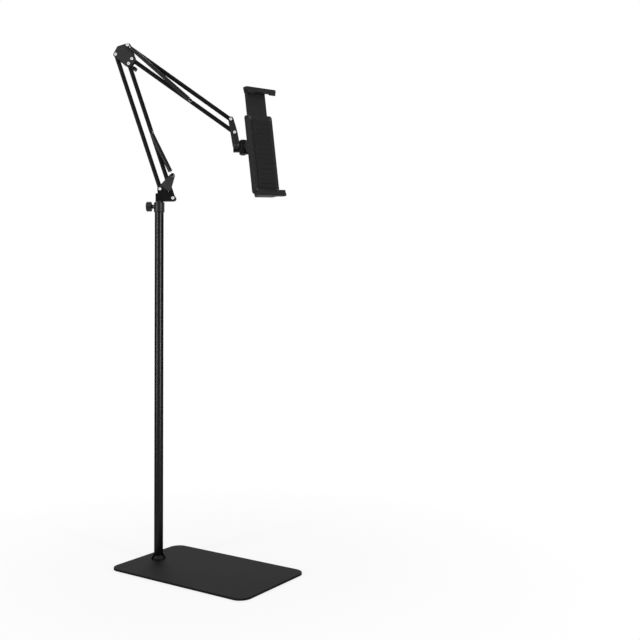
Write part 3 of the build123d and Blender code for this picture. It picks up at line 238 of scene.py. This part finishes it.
class Value:
    """A number or colour that a material works out at each point. Sums and products written
    with it add the Math nodes for them."""

    def __init__(self, finish, socket):
        self.finish = finish
        self.socket = socket

    def math(self, operation, first, second=0.0):
        return self.finish.node("ShaderNodeMath", {"operation": operation}, {0: first, 1: second})

    def __add__(self, other):
        return self.math("ADD", self, other)

    def __radd__(self, other):
        return self.math("ADD", other, self)

    def __rsub__(self, other):
        return self.math("SUBTRACT", other, self)

    def __mul__(self, other):
        return self.math("MULTIPLY", self, other)


class Finish:
    """A node tree of one finish. node() adds any node; the other methods are the few patterns
    that the finishes share, all in the stand's own metres."""

    def __init__(self, name, tree=None):
        if tree is None:
            self.material = bpy.data.materials.new(name)
            self.material.use_nodes = True
            tree = self.material.node_tree
        self.tree = tree
        self.tree.nodes.clear()
        self.place = self.node("ShaderNodeTexCoord", out="Object")

    def node(self, kind, settings=None, inputs=None, out=0):
        """Adds a node, makes its settings, then gives its inputs numbers or links."""
        node = self.tree.nodes.new(kind)
        for name, value in (settings or {}).items():
            setattr(node, name, value)
        for name, value in (inputs or {}).items():
            if isinstance(value, Value):
                self.tree.links.new(value.socket, node.inputs[name])
            else:
                node.inputs[name].default_value = value
        return Value(self, node.outputs[out])

    def noise(self, scale, detail=2.0, stretch=(1, 1, 1)):
        """Cloudy noise between 0 and 1, with a scale in cells to the metre."""
        place = self.node("ShaderNodeMapping", None, {"Vector": self.place, "Scale": stretch})
        shape = {"Vector": place, "Scale": scale, "Detail": detail, "Roughness": 0.55}
        return self.node("ShaderNodeTexNoise", None, shape)

    def cells(self, scale):
        """The distance to the middle of the nearest cell of an uneven net."""
        return self.node(
            "ShaderNodeTexVoronoi", {"feature": "F1"}, {"Vector": self.place, "Scale": scale}
        )

    def span(self, value, low, high, start=0.0, end=1.0):
        """A value carried from the range low to high to the range start to end, and held there."""
        return self.node(
            "ShaderNodeMapRange",
            {"clamp": True},
            {"Value": value, "From Min": low, "From Max": high, "To Min": start, "To Max": end},
        )

    def between(self, first, second, share):
        """A colour between two, by a share from 0 to 1."""
        inputs = {0: share, 6: first, 7: second}
        return self.node("ShaderNodeMix", {"data_type": "RGBA"}, inputs, out=2)

    def relief(self, height, depth):
        """A normal for a relief whose heights from 0 to 1 are that many metres deep."""
        shape = {"Height": height, "Distance": depth, "Strength": 1.0}
        return self.node("ShaderNodeBump", None, shape)

    def done(self, kind, values, sink="ShaderNodeOutputMaterial"):
        """Ends the tree with its shader."""
        shader = self.node(kind, None, values) if isinstance(kind, str) else kind
        end = self.tree.nodes.new(sink)
        self.tree.links.new(shader.socket, end.inputs["Surface"])


def grey(level, blue=1.06):
    """A near-black paint colour, a trace bluer than grey."""
    return (level, level, level * blue, 1.0)


def base_paint(finish):
    """Powder coat: fine even grain, with broad faint patches and a few lighter rub marks."""
    grain = finish.noise(1500.0, 1.0)
    patches = finish.noise(11.0, 4.0)
    rubs = finish.span(finish.noise(60.0, 6.0, (1, 5, 1)), 0.62, 0.8)
    colour = finish.between(grey(0.006), grey(0.009), patches * 0.7 + grain * 0.3)
    return {
        "Base Color": finish.between(colour, grey(0.016), rubs * 0.35),
        "Roughness": 0.56 + grain * 0.12 + patches * 0.06,
        "Specular IOR Level": 0.03,
        "Normal": finish.relief(grain, 0.00008),
    }


def anti_slip_rubber(finish):
    """Foam rubber: open pores in an uneven net, dusty in patches."""
    pores = finish.span(finish.cells(900.0), 0.1, 0.6)
    dust = finish.noise(35.0, 4.0)
    return {
        "Base Color": finish.between(grey(0.012, 1.0), grey(0.03, 1.0), dust * pores),
        "Roughness": 0.82 + dust * 0.12,
        "Specular IOR Level": 0.2,
        "Normal": finish.relief(pores, 0.0002),
    }


def gloss_paint(finish):
    """Smooth gloss paint: a faint orange peel, fine upright wipe marks and a few smudges. It is set
    as a very dark metal that mirrors evenly from all sides but at the very edge, where the black
    specular tint keeps it black: painted shade along its edges."""
    peel = finish.noise(160.0, 1.0)
    wipes = finish.noise(900.0, 3.0, (1, 1, 0.02))
    smudges = finish.span(finish.noise(24.0, 5.0), 0.5, 0.75)
    return {
        "Base Color": finish.between(grey(0.014), grey(0.018), wipes),
        "Roughness": 0.22 + smudges * 0.03 + wipes * 0.03,
        "Metallic": 1.0,
        # The black tint darkens the reflection at the very edge: painted shade.
        "Specular Tint": (0, 0, 0, 1),
        "Normal": finish.relief(peel, 0.000004),
    }


def arm_paint(finish):
    """Satin paint on tube and bar: close grain, with dull streaks where it has been handled."""
    grain = finish.noise(2200.0, 2.0)
    streaks = finish.noise(70.0, 5.0)
    return {
        "Base Color": finish.between(grey(0.003), grey(0.006), streaks),
        "Roughness": 0.3 + streaks * 0.1 + grain * 0.05,
        "Specular IOR Level": 0.05,
        "Normal": finish.relief(grain, 0.00003),
    }


def plate_paint(finish):
    """Satin paint on stamped plate: rolled grain under the paint and paler rubbed spots."""
    grain = finish.noise(1700.0, 2.0)
    rolled = finish.noise(500.0, 2.0, (1, 1, 0.15))
    rubs = finish.span(finish.noise(180.0, 5.0), 0.58, 0.78)
    colour = finish.between(grey(0.018), grey(0.026), rolled)
    return {
        "Base Color": finish.between(colour, grey(0.05), rubs * 0.3),
        "Roughness": 0.38 + grain * 0.1 + rubs * 0.08,
        "Specular IOR Level": 0.1,
        "Normal": finish.relief(grain * 0.7 + rolled * 0.3, 0.00005),
    }


def fitting_plastic(finish):
    """Moulded plastic with a fine spark-etched grain and shinier touched spots."""
    etch = finish.noise(3200.0, 2.0)
    touched = finish.span(finish.noise(90.0, 3.0), 0.45, 0.7)
    return {
        "Base Color": finish.between(grey(0.003, 1.02), grey(0.006, 1.02), etch),
        "Roughness": 0.3 - touched * 0.08 + etch * 0.05,
        "Specular IOR Level": 0.2,
        "Normal": finish.relief(etch, 0.00004),
    }


def clamp_plastic(finish):
    """Textured case plastic: leathery fine grain with soft flow marks from the mould."""
    leather = finish.span(finish.cells(2100.0), 0.05, 0.6)
    flow = finish.noise(45.0, 4.0, (1, 1, 0.3))
    mottle = flow * 0.6 + leather * 0.4
    return {
        "Base Color": finish.between(grey(0.006, 1.03), grey(0.011, 1.03), mottle),
        "Roughness": 0.42 + leather * 0.08 + flow * 0.05,
        "Specular IOR Level": 0.12,
        "Normal": finish.relief(leather, 0.00005),
    }


def slide_plastic(finish):
    """Plain acetal for bushes and rings: waxy, with fine turning marks."""
    turning = finish.noise(4200.0, 1.0)
    clouds = finish.noise(120.0, 3.0)
    return {
        "Base Color": finish.between(grey(0.018, 1.0), grey(0.03, 1.0), clouds),
        "Roughness": 0.34 + clouds * 0.1,
        "Specular IOR Level": 0.2,
        "Normal": finish.relief(turning, 0.00002),
    }


def sleeve_plastic(finish):
    """Drawn plastic tube: glossy, with a slight unevenness of its skin and pale scuffs."""
    skin_wave = finish.noise(160.0, 2.0)
    scuffs = finish.span(finish.noise(700.0, 4.0), 0.64, 0.85)
    return {
        "Base Color": finish.between(grey(0.004), grey(0.008), scuffs),
        "Roughness": 0.24 + scuffs * 0.1 + skin_wave * 0.04,
        "Specular IOR Level": 0.14,
        "Normal": finish.relief(skin_wave, 0.00002),
    }


def pad_rubber(finish):
    """Silicone rubber: dull and velvety, with dust caught in its pores."""
    pores = finish.noise(3800.0, 2.0)
    dust = finish.span(finish.noise(75.0, 5.0), 0.5, 0.8)
    return {
        "Base Color": finish.between(grey(0.008, 1.0), grey(0.018, 1.0), dust * 0.6 + pores * 0.4),
        "Roughness": 0.74 + dust * 0.16,
        "Specular IOR Level": 0.1,
        "Normal": finish.relief(pores, 0.00005),
    }


def bright_steel(finish):
    """Zinc plate: pale metal with fine scratches and slight spangles."""
    scratches = finish.noise(2600.0, 3.0, (1, 0.12, 1))
    spangles = finish.noise(420.0, 3.0)
    return {
        "Base Color": finish.between((0.5, 0.5, 0.5, 1), (0.68, 0.68, 0.7, 1), spangles),
        "Roughness": 0.24 + scratches * 0.16,
        "Metallic": 1.0,
        "Normal": finish.relief(scratches, 0.000015),
    }


def bolt_steel(finish):
    """Zinc plate on the arm's bolts: bright on the flat of each head and nut and dark down the
    sides. The flats face along the bolts."""
    facing = finish.node("ShaderNodeTexCoord", out="Normal")
    facing = finish.node(
        "ShaderNodeVectorMath",
        {"operation": "DOT_PRODUCT"},
        {0: facing, 1: tuple(ARM.across)},
        out="Value",
    )
    flat = finish.span(facing.math("ABSOLUTE", facing), 0.9, 0.985)
    scratches = finish.noise(2600.0, 3.0, (1, 0.12, 1))
    spangles = finish.noise(420.0, 3.0)
    bright = finish.between((0.62, 0.62, 0.62, 1), (0.84, 0.84, 0.85, 1), spangles)
    return {
        "Base Color": finish.between((0.035, 0.034, 0.033, 1), bright, flat),
        "Roughness": 0.26 + scratches * 0.16,
        "Metallic": 1.0,
        "Normal": finish.relief(scratches, 0.000015),
    }


def dark_steel(finish):
    """Black oxide: dark metal, browner in patches, with bright worn points."""
    patches = finish.noise(300.0, 4.0)
    worn = finish.span(finish.noise(1500.0, 4.0), 0.62, 0.75)
    colour = finish.between((0.05, 0.05, 0.052, 1), (0.085, 0.08, 0.076, 1), patches)
    return {
        "Base Color": finish.between(colour, (0.3, 0.3, 0.3, 1), worn * 0.6),
        "Roughness": 0.36 + patches * 0.14,
        "Metallic": 1.0,
        "Normal": finish.relief(patches, 0.00002),
    }


def spring_wire(finish):
    """Drawn wire: bright, with draw lines and a little oil in patches."""
    lines = finish.noise(5200.0, 2.0)
    oil = finish.span(finish.noise(380.0, 3.0), 0.45, 0.7)
    return {
        "Base Color": finish.between((0.56, 0.56, 0.57, 1), (0.36, 0.35, 0.34, 1), oil),
        "Roughness": 0.18 + lines * 0.12,
        "Metallic": 1.0,
        "Normal": finish.relief(lines, 0.00001),
    }


def ball_steel(finish):
    """Blackened steel, polished, with a film of grease in patches."""
    film = finish.noise(160.0, 4.0)
    lines = finish.noise(2400.0, 2.0)
    return {
        "Base Color": finish.between((0.07, 0.07, 0.075, 1), (0.13, 0.13, 0.135, 1), film),
        "Roughness": 0.14 + film * 0.14,
        "Metallic": 1.0,
        "Normal": finish.relief(lines, 0.000008),
    }


MAKERS = (
    base_paint, anti_slip_rubber, gloss_paint, arm_paint, plate_paint, fitting_plastic,
    clamp_plastic, slide_plastic, sleeve_plastic, pad_rubber, bright_steel, bolt_steel,
    dark_steel, spring_wire, ball_steel,
)
finishes = {}
for maker in MAKERS:
    made = Finish(maker.__name__)
    made.done("ShaderNodeBsdfPrincipled", maker(made))
    finishes[maker.__name__] = made.material

# Each piece has the finish of its slot, but for the arm's bolts, and for the studs, the spring's
# anchor and the rivets, which are painted with the arm
# The bracket stiffener's slot is arm_paint, darker than the plate_paint of the cheek behind it: painted
# shade on the stiffener, set against the more brightly lit cheek.
slot_of = {part["node"]: part["material_slot"] for part in frame["record"]["subparts"]}
for node in ("bracket_pivot_bolts", "elbow_bolts", "elbow_clamp_bolt", "end_bolts"):
    slot_of[node] = "bolt_steel"
for node in ("lower_spring_anchor", "lower_spring_stud", "upper_spring_stud", "bracket_rivets"):
    slot_of[node] = "arm_paint"
for name, piece in frame["nodes"].items():
    if not piece.data.materials:
        piece.data.materials.append(None)
    for place in piece.material_slots:
        place.material = finishes[slot_of[name]]


# Shapes


def shown(name, mesh, slot):
    """Puts a finished mesh into the scene, smooth but for its true edges."""
    mesh.shade_smooth()
    mesh.set_sharp_from_angle(angle=radians(SHARP_ANGLE))
    mesh.materials.clear()
    mesh.materials.append(finishes[slot])
    piece = bpy.data.objects.new(name, mesh)
    bpy.context.scene.collection.objects.link(piece)
    return piece


def skin(name, points, slot, wrap_rows=False):
    """A closed surface over a grid of points (rows, columns, 3). Each cell of the grid is a face,
    the last column meets the first, and so does the last row if rows wrap. Points that fall
    together become one, and the faces are turned outwards."""
    rows, columns = points.shape[:2]
    index = np.arange(rows * columns).reshape(rows, columns)
    if wrap_rows:
        index = np.vstack([index, index[:1]])
    index = np.hstack([index, index[:, :1]])
    corners = [index[:-1, :-1], index[1:, :-1], index[1:, 1:], index[:-1, 1:]]
    faces = np.stack(corners, axis=-1).reshape(-1, 4)
    mesh = bpy.data.meshes.new(name)
    mesh.from_pydata(points.reshape(-1, 3).tolist(), [], faces.tolist())
    shell = bmesh.new()
    shell.from_mesh(mesh)
    bmesh.ops.remove_doubles(shell, verts=shell.verts, dist=1e-7)
    bmesh.ops.recalc_face_normals(shell, faces=shell.faces)
    shell.to_mesh(mesh)
    shell.free()
    return shown(name, mesh, slot)


def soften(corners, ease, steps=5, closed=False):
    """A line whose corners are cut by curves: each runs from an ease before its corner to an
    ease after it as (1 - t)^2 * start + 2 t (1 - t) * corner + t^2 * end."""
    corners = np.array(corners, float)
    t = np.linspace(0, 1, steps)[None, :, None]

    def reach(side):
        length = np.maximum(np.linalg.norm(side, axis=1, keepdims=True), 1e-9)
        return corners + side * np.minimum(ease / length, 0.5)

    start = reach(np.roll(corners, 1, axis=0) - corners)[:, None]
    end = reach(np.roll(corners, -1, axis=0) - corners)[:, None]
    curves = (1 - t) ** 2 * start + 2 * t * (1 - t) * corners[:, None] + t**2 * end
    if closed:
        return curves.reshape(-1, corners.shape[1])
    inner = curves[1:-1].reshape(-1, corners.shape[1])
    return np.vstack([corners[:1], inner, corners[-1:]])


def turned(name, station, profile, slot, lobes=0, around=160, closed=False):
    """A profile carried round a station's across axis. Each point of the profile is a height, a
    radius and a draw, and its radius at an angle is
    radius - draw * (1 - cos(lobes * angle)) / 2."""
    angle = np.linspace(0, 2 * pi, around, endpoint=False)
    radius = profile[:, 1:2] - profile[:, 2:] * (1 - np.cos(lobes * angle)) / 2
    height = np.broadcast_to(profile[:, :1], radius.shape)
    points = np.stack([radius * np.cos(angle), radius * np.sin(angle), height], axis=-1)
    return skin(name, station.at(points), slot, wrap_rows=closed)


def wire(name, station, path, sides, radius, slot, around=12):
    """A round wire along a path in a station. sides gives a direction across the path at each
    point; the circle there is radius * (cos a * side + sin a * tangent x side), and the ends
    close on the path."""
    tangent = unit(np.gradient(path, axis=0))
    side = unit(sides - np.sum(sides * tangent, axis=1, keepdims=True) * tangent)
    other = np.cross(tangent, side)
    angle = np.linspace(0, 2 * pi, around, endpoint=False)[None, :, None]
    spokes = np.cos(angle) * side[:, None] + np.sin(angle) * other[:, None]
    rings = path[:, None] + radius * spokes
    first = np.broadcast_to(path[:1, None], rings[:1].shape)
    last = np.broadcast_to(path[-1:, None], rings[-1:].shape)
    return skin(name, station.at(np.concatenate([first, rings, last])), slot)


def joined(name, slot, *pieces):
    """Several closed surfaces as one piece."""
    shell = bmesh.new()
    for piece in pieces:
        shell.from_mesh(piece.data)
    mesh = bpy.data.meshes.new(name)
    shell.to_mesh(mesh)
    shell.free()
    for piece in pieces:
        bpy.data.objects.remove(piece)
    return shown(name, mesh, slot)


def cushion_pad(name, station, width, height, corner, thickness, pitch, depth, slot):
    """A rubber pad with round edges and grooves across it. Half its width at a height y is
    width/2 - corner + sqrt(corner^2 - over^2), where over is how far y is past the start of the
    corner. Its face stands at thickness - edge + sqrt(edge^2 - (edge - inset)^2) for an inset
    from the outline under the edge, which is the thickness. A groove takes off depth *
    2 * (1.6 cos(2 pi y / pitch) - 1.1), held from 0 to 0.5 and faded out near the outline."""
    rows, columns = 240, 60
    y = np.sin(np.linspace(-pi / 2, pi / 2, rows)) * 0.25 + np.linspace(-1, 1, rows) * 0.75
    y = (y * height / 2)[:, None]
    over = np.maximum(np.abs(y) - (height / 2 - corner), 0)
    half = width / 2 - corner + np.sqrt(np.maximum(corner**2 - over**2, 0))
    across = np.sin(np.linspace(-pi / 2, pi / 2, columns))[None, :]
    x = across * half
    inset = np.minimum(np.minimum(half - np.abs(x), height / 2 - np.abs(y)), thickness)
    face = np.sqrt(np.maximum(thickness**2 - (thickness - inset) ** 2, 0))
    groove = np.clip(1.6 * np.cos(2 * pi * y / pitch) - 1.1, 0, 0.5) * 2
    margin = np.clip((half - corner - np.abs(x)) / (corner / 3), 0, 1)
    ends = np.clip((height / 2 - corner - np.abs(y)) / (corner / 3), 0, 1)
    face = face - depth * groove * margin * ends * (face > 0.9 * thickness)
    top = np.stack([x, np.broadcast_to(y, x.shape), face], axis=-1)
    under = np.stack([x, np.broadcast_to(y, x.shape), np.zeros_like(x)], axis=-1)[:, ::-1]
    return skin(name, station.at(np.concatenate([top, under[:, 1:-1]], axis=1)), slot)


def edged(node, width):
    """A copy of a structure piece with its flat faces made whole and its sharp edges rounded."""
    source = frame["nodes"][node]
    mesh = source.data.copy()
    shell = bmesh.new()
    shell.from_mesh(mesh)
    bmesh.ops.remove_doubles(shell, verts=shell.verts, dist=1e-6)
    bmesh.ops.dissolve_limit(
        shell, angle_limit=radians(FLAT_ANGLE), verts=shell.verts, edges=shell.edges
    )
    shell.to_mesh(mesh)
    shell.free()
    piece = shown(node + "_edged", mesh, slot_of[node])
    rounding = piece.modifiers.new("rounding", "BEVEL")
    rounding.limit_method = "ANGLE"
    rounding.angle_limit = radians(ROUNDED_ANGLE)
    rounding.width = width
    rounding.segments = 2
    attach(piece, body_of(source)[0])
    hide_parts(node)


# Springs, each with its wound body, two eyes and the sleeve over it


def spring(name, start, end, out, sleeve_radius, bodies, nodes):
    """A tension spring between two studs of the arm. Its wound body is the helix
    (along, R cos a, R sin a); each eye is most of a circle round its stud, reached by a straight
    shank; its sleeve is a tube with rounded ends. Both bend from one body to the other."""
    origin = ARM.at([start[0], start[1], out])
    far = ARM.at([end[0], end[1], out])
    length = np.linalg.norm(far - origin)
    line = Station(origin, far - origin, ARM.across)
    axis = Station(origin, ARM.across, far - origin)
    wound = sleeve_radius - SLEEVE_WALL - 2 * WIRE
    run = length - HOOK_GAP - STUD_GAP
    turns = int(run / COIL_PITCH)
    angle = np.linspace(0, 2 * pi * turns, turns * POINTS_PER_TURN)
    along = HOOK_GAP + run * angle / angle[-1]
    path = np.stack([along, wound * np.cos(angle), wound * np.sin(angle)], axis=1)
    radial = np.stack([np.zeros_like(angle), np.cos(angle), np.sin(angle)], axis=1)
    body = wire(name + "_body", line, path, radial, WIRE, "spring_wire", around=8)
    bend = np.radians(np.linspace(EYE_START, EYE_END, 40))
    loop = np.stack([EYE * np.cos(bend), EYE * np.sin(bend), np.zeros_like(bend)], axis=1)
    shank = soften(
        [(HOOK_GAP + 4 * WIRE, 0, 0), (2.15 * EYE, 0, 0), (1.35 * EYE, 0.1 * EYE, 0), loop[0]],
        0.6 * EYE,
        steps=6,
    )
    hook = np.vstack([shank[:-1], loop])
    sides = np.broadcast_to([0.0, 0.0, 1.0], hook.shape)
    near_eye = wire(name + "_near_eye", line, hook, sides, WIRE, "spring_wire")
    mirrored = hook * [-1, -1, 1] + [length, 0, 0]
    far_eye = wire(name + "_far_eye", line, mirrored, sides, WIRE, "spring_wire")
    coil = joined(name + "_coil", "spring_wire", body, near_eye, far_eye)
    rise = np.linspace(HOOK_GAP, length - STUD_GAP, 30)
    wall = np.full_like(rise, sleeve_radius)
    still = np.zeros_like(rise)
    outer = np.stack([rise, wall, still], axis=1)
    inner = np.stack([rise, wall - SLEEVE_WALL, still], axis=1)[::-1]
    tube = soften(np.vstack([outer, inner]), SLEEVE_LIP, steps=3, closed=True)
    sleeve = turned(name + "_tube", axis, tube, "sleeve_plastic", around=40, closed=True)
    first, second = bodies
    bend_start = tuple(line.at([BEND_START * length, 0, 0]))
    bend_end = tuple(line.at([BEND_END * length, 0, 0]))
    for piece, node in zip((coil, sleeve), nodes):
        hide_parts(node)
        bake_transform(piece, first, second, bend_start, bend_end)


spring(
    "lower_spring",
    EAR,
    LOWER_STUD,
    LOWER_SPRING_OUT,
    LOWER_SLEEVE,
    ("arm_bracket", "lower_front_bar"),
    ("lower_spring", "lower_spring_sleeve"),
)
spring(
    "upper_spring",
    ELBOW_TOP,
    UPPER_STUD,
    UPPER_SPRING_OUT,
    UPPER_SLEEVE,
    ("elbow", "upper_low_bar"),
    ("upper_spring", "upper_spring_sleeve"),
)

# Thumb knob: neck, fluted rim and dished cap, drilled for its screw
knob_profile = soften(np.array(KNOB_PROFILE) / 1000, KNOB_EASE)
knob = turned("thumb_knob", KNOB, knob_profile, "fitting_plastic", lobes=KNOB_LOBES)
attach(knob, "collar_knob")
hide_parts("knob_head")

# Clamp nut: fluted rim, flared mouth towards the stem and a round seat for the ball's liner,
# whose radius at a height is sqrt(seat radius^2 - height^2)
seat = np.linspace(NUT_SEAT_TOP, NUT_SEAT_FOOT, 9)
seat_radius = np.sqrt(NUT_SEAT_RADIUS**2 - seat**2)
nut_corners = np.vstack([NUT_RIM, np.stack([seat, seat_radius, np.zeros(9)], axis=1)])
nut_profile = soften(nut_corners / 1000, NUT_EASE, closed=True)
nut = turned(
    "ball_clamp_nut", CLAMP, nut_profile, "clamp_plastic", lobes=NUT_LOBES, around=200, closed=True
)
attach(nut, "clamp_ring")
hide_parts("clamp_nut")

# Rubber pads: one on the clamp's face, one on each jaw
grip = Station(CLAMP.at(GRIP_PLACE), CLAMP.along, CLAMP.across)
low_seat = Station(CLAMP.at(LOW_JAW_PLACE), -CLAMP.along, CLAMP.up)
high_seat = Station(CLAMP.at(HIGH_JAW_PLACE), CLAMP.along, -CLAMP.up)
for name, station, size, body, node in (
    ("clamp_face_pad", grip, GRIP_PAD, "tablet_clamp", "grip_pad"),
    ("low_jaw_pad", low_seat, JAW_PAD, "tablet_clamp", "lower_jaw_pad"),
    ("high_jaw_pad", high_seat, JAW_PAD, "upper_jaw", "upper_jaw_pad"),
):
    pad = cushion_pad(name, station, *size, "pad_rubber")
    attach(pad, body)
    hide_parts(node)

# Stamped plates, moulded jaws and small blocks get the rounded edges of the real ones
for width, nodes in ROUNDED:
    for node in nodes:
        edged(node, width)


# Studio: pale floor, white backdrop, soft lamps and the camera


def backdrop_share(finish):
    """One where the camera, a reflection or a clear material sees the backdrop itself."""
    rays = finish.tree.nodes.new("ShaderNodeLightPath")
    camera, glossy, clear = (
        Value(finish, rays.outputs[name])
        for name in ("Is Camera Ray", "Is Glossy Ray", "Is Transmission Ray")
    )
    return camera.math("MAXIMUM", camera.math("MAXIMUM", camera, glossy), clear)


floor_mesh = bpy.data.meshes.new("studio_floor")
floor_sides = ((-1, -1), (1, -1), (1, 1), (-1, 1))
floor_corners = [(x * FLOOR_REACH, y * FLOOR_REACH, 0) for x, y in floor_sides]
floor_mesh.from_pydata(floor_corners, [], [(0, 1, 2, 3)])
floor = bpy.data.objects.new("studio_floor", floor_mesh)
bpy.context.scene.collection.objects.link(floor)
ground = Finish("studio_floor")
lit = ground.node("ShaderNodeBsdfDiffuse", None, {"Color": (0.86, 0.86, 0.86, 1)})
white = ground.node("ShaderNodeEmission", None, {"Color": (1, 1, 1, 1), "Strength": 1.0})
away = ground.node(
    "ShaderNodeVectorMath", {"operation": "LENGTH"}, {0: ground.place}, out="Value"
)
pale = backdrop_share(ground) * ground.span(away, PALE_FROM, PALE_TO, PALE_LEAST, 1.0)
ground.done(ground.node("ShaderNodeMixShader", None, {0: pale, 1: lit, 2: white}), None)
floor_mesh.materials.append(ground.material)

world = bpy.data.worlds.new("studio")
bpy.context.scene.world = world
world.use_nodes = True
sky = Finish("studio", world.node_tree)
dim = sky.node("ShaderNodeBackground", None, {"Color": (1, 1, 1, 1), "Strength": 0.25})
bright = sky.node("ShaderNodeBackground", None, {"Color": (1, 1, 1, 1), "Strength": 1.0})
sky.done(
    sky.node("ShaderNodeMixShader", None, {0: backdrop_share(sky), 1: dim, 2: bright}),
    None,
    "ShaderNodeOutputWorld",
)


def lamp(name, azimuth, elevation, distance, width, height, power):
    """A soft rectangular lamp that faces the middle of the stand."""
    light = bpy.data.lights.new(name, "AREA")
    light.shape = "RECTANGLE"
    light.size, light.size_y, light.energy = width, height, power
    holder = bpy.data.objects.new(name, light)
    bpy.context.scene.collection.objects.link(holder)
    away = Vector(
        (
            cos(radians(azimuth)) * cos(radians(elevation)),
            sin(radians(azimuth)) * cos(radians(elevation)),
            sin(radians(elevation)),
        )
    )
    holder.location = Vector(STAND_MIDDLE) + away * distance
    holder.rotation_euler = away.to_track_quat("Z", "Y").to_euler()
    holder.visible_camera = False


for name, setting in LAMPS.items():
    lamp(name, *setting)

yaw, pitch, roll = CAMERA_YAW, CAMERA_PITCH, CAMERA_ROLL
right = np.array([cos(yaw), sin(yaw), 0])
ahead = np.array([-sin(yaw) * cos(pitch), cos(yaw) * cos(pitch), -sin(pitch)])
above = np.cross(right, ahead)
rolled_right = cos(roll) * right + sin(roll) * above
rolled_above = cos(roll) * above - sin(roll) * right
camera = bpy.data.objects.new("camera", bpy.data.cameras.new("camera"))
bpy.context.scene.collection.objects.link(camera)
turn = Matrix([rolled_right, rolled_above, -ahead]).transposed().to_4x4()
camera.matrix_world = Matrix.Translation(CAMERA_PLACE) @ turn
camera.data.sensor_width = SENSOR_WIDTH
camera.data.lens = CAMERA_FOCUS / PHOTO_WIDTH * SENSOR_WIDTH
camera.data.shift_y = -CAMERA_RISE / PHOTO_WIDTH
bpy.context.scene.camera = camera
bpy.context.scene.view_settings.view_transform = "Standard"
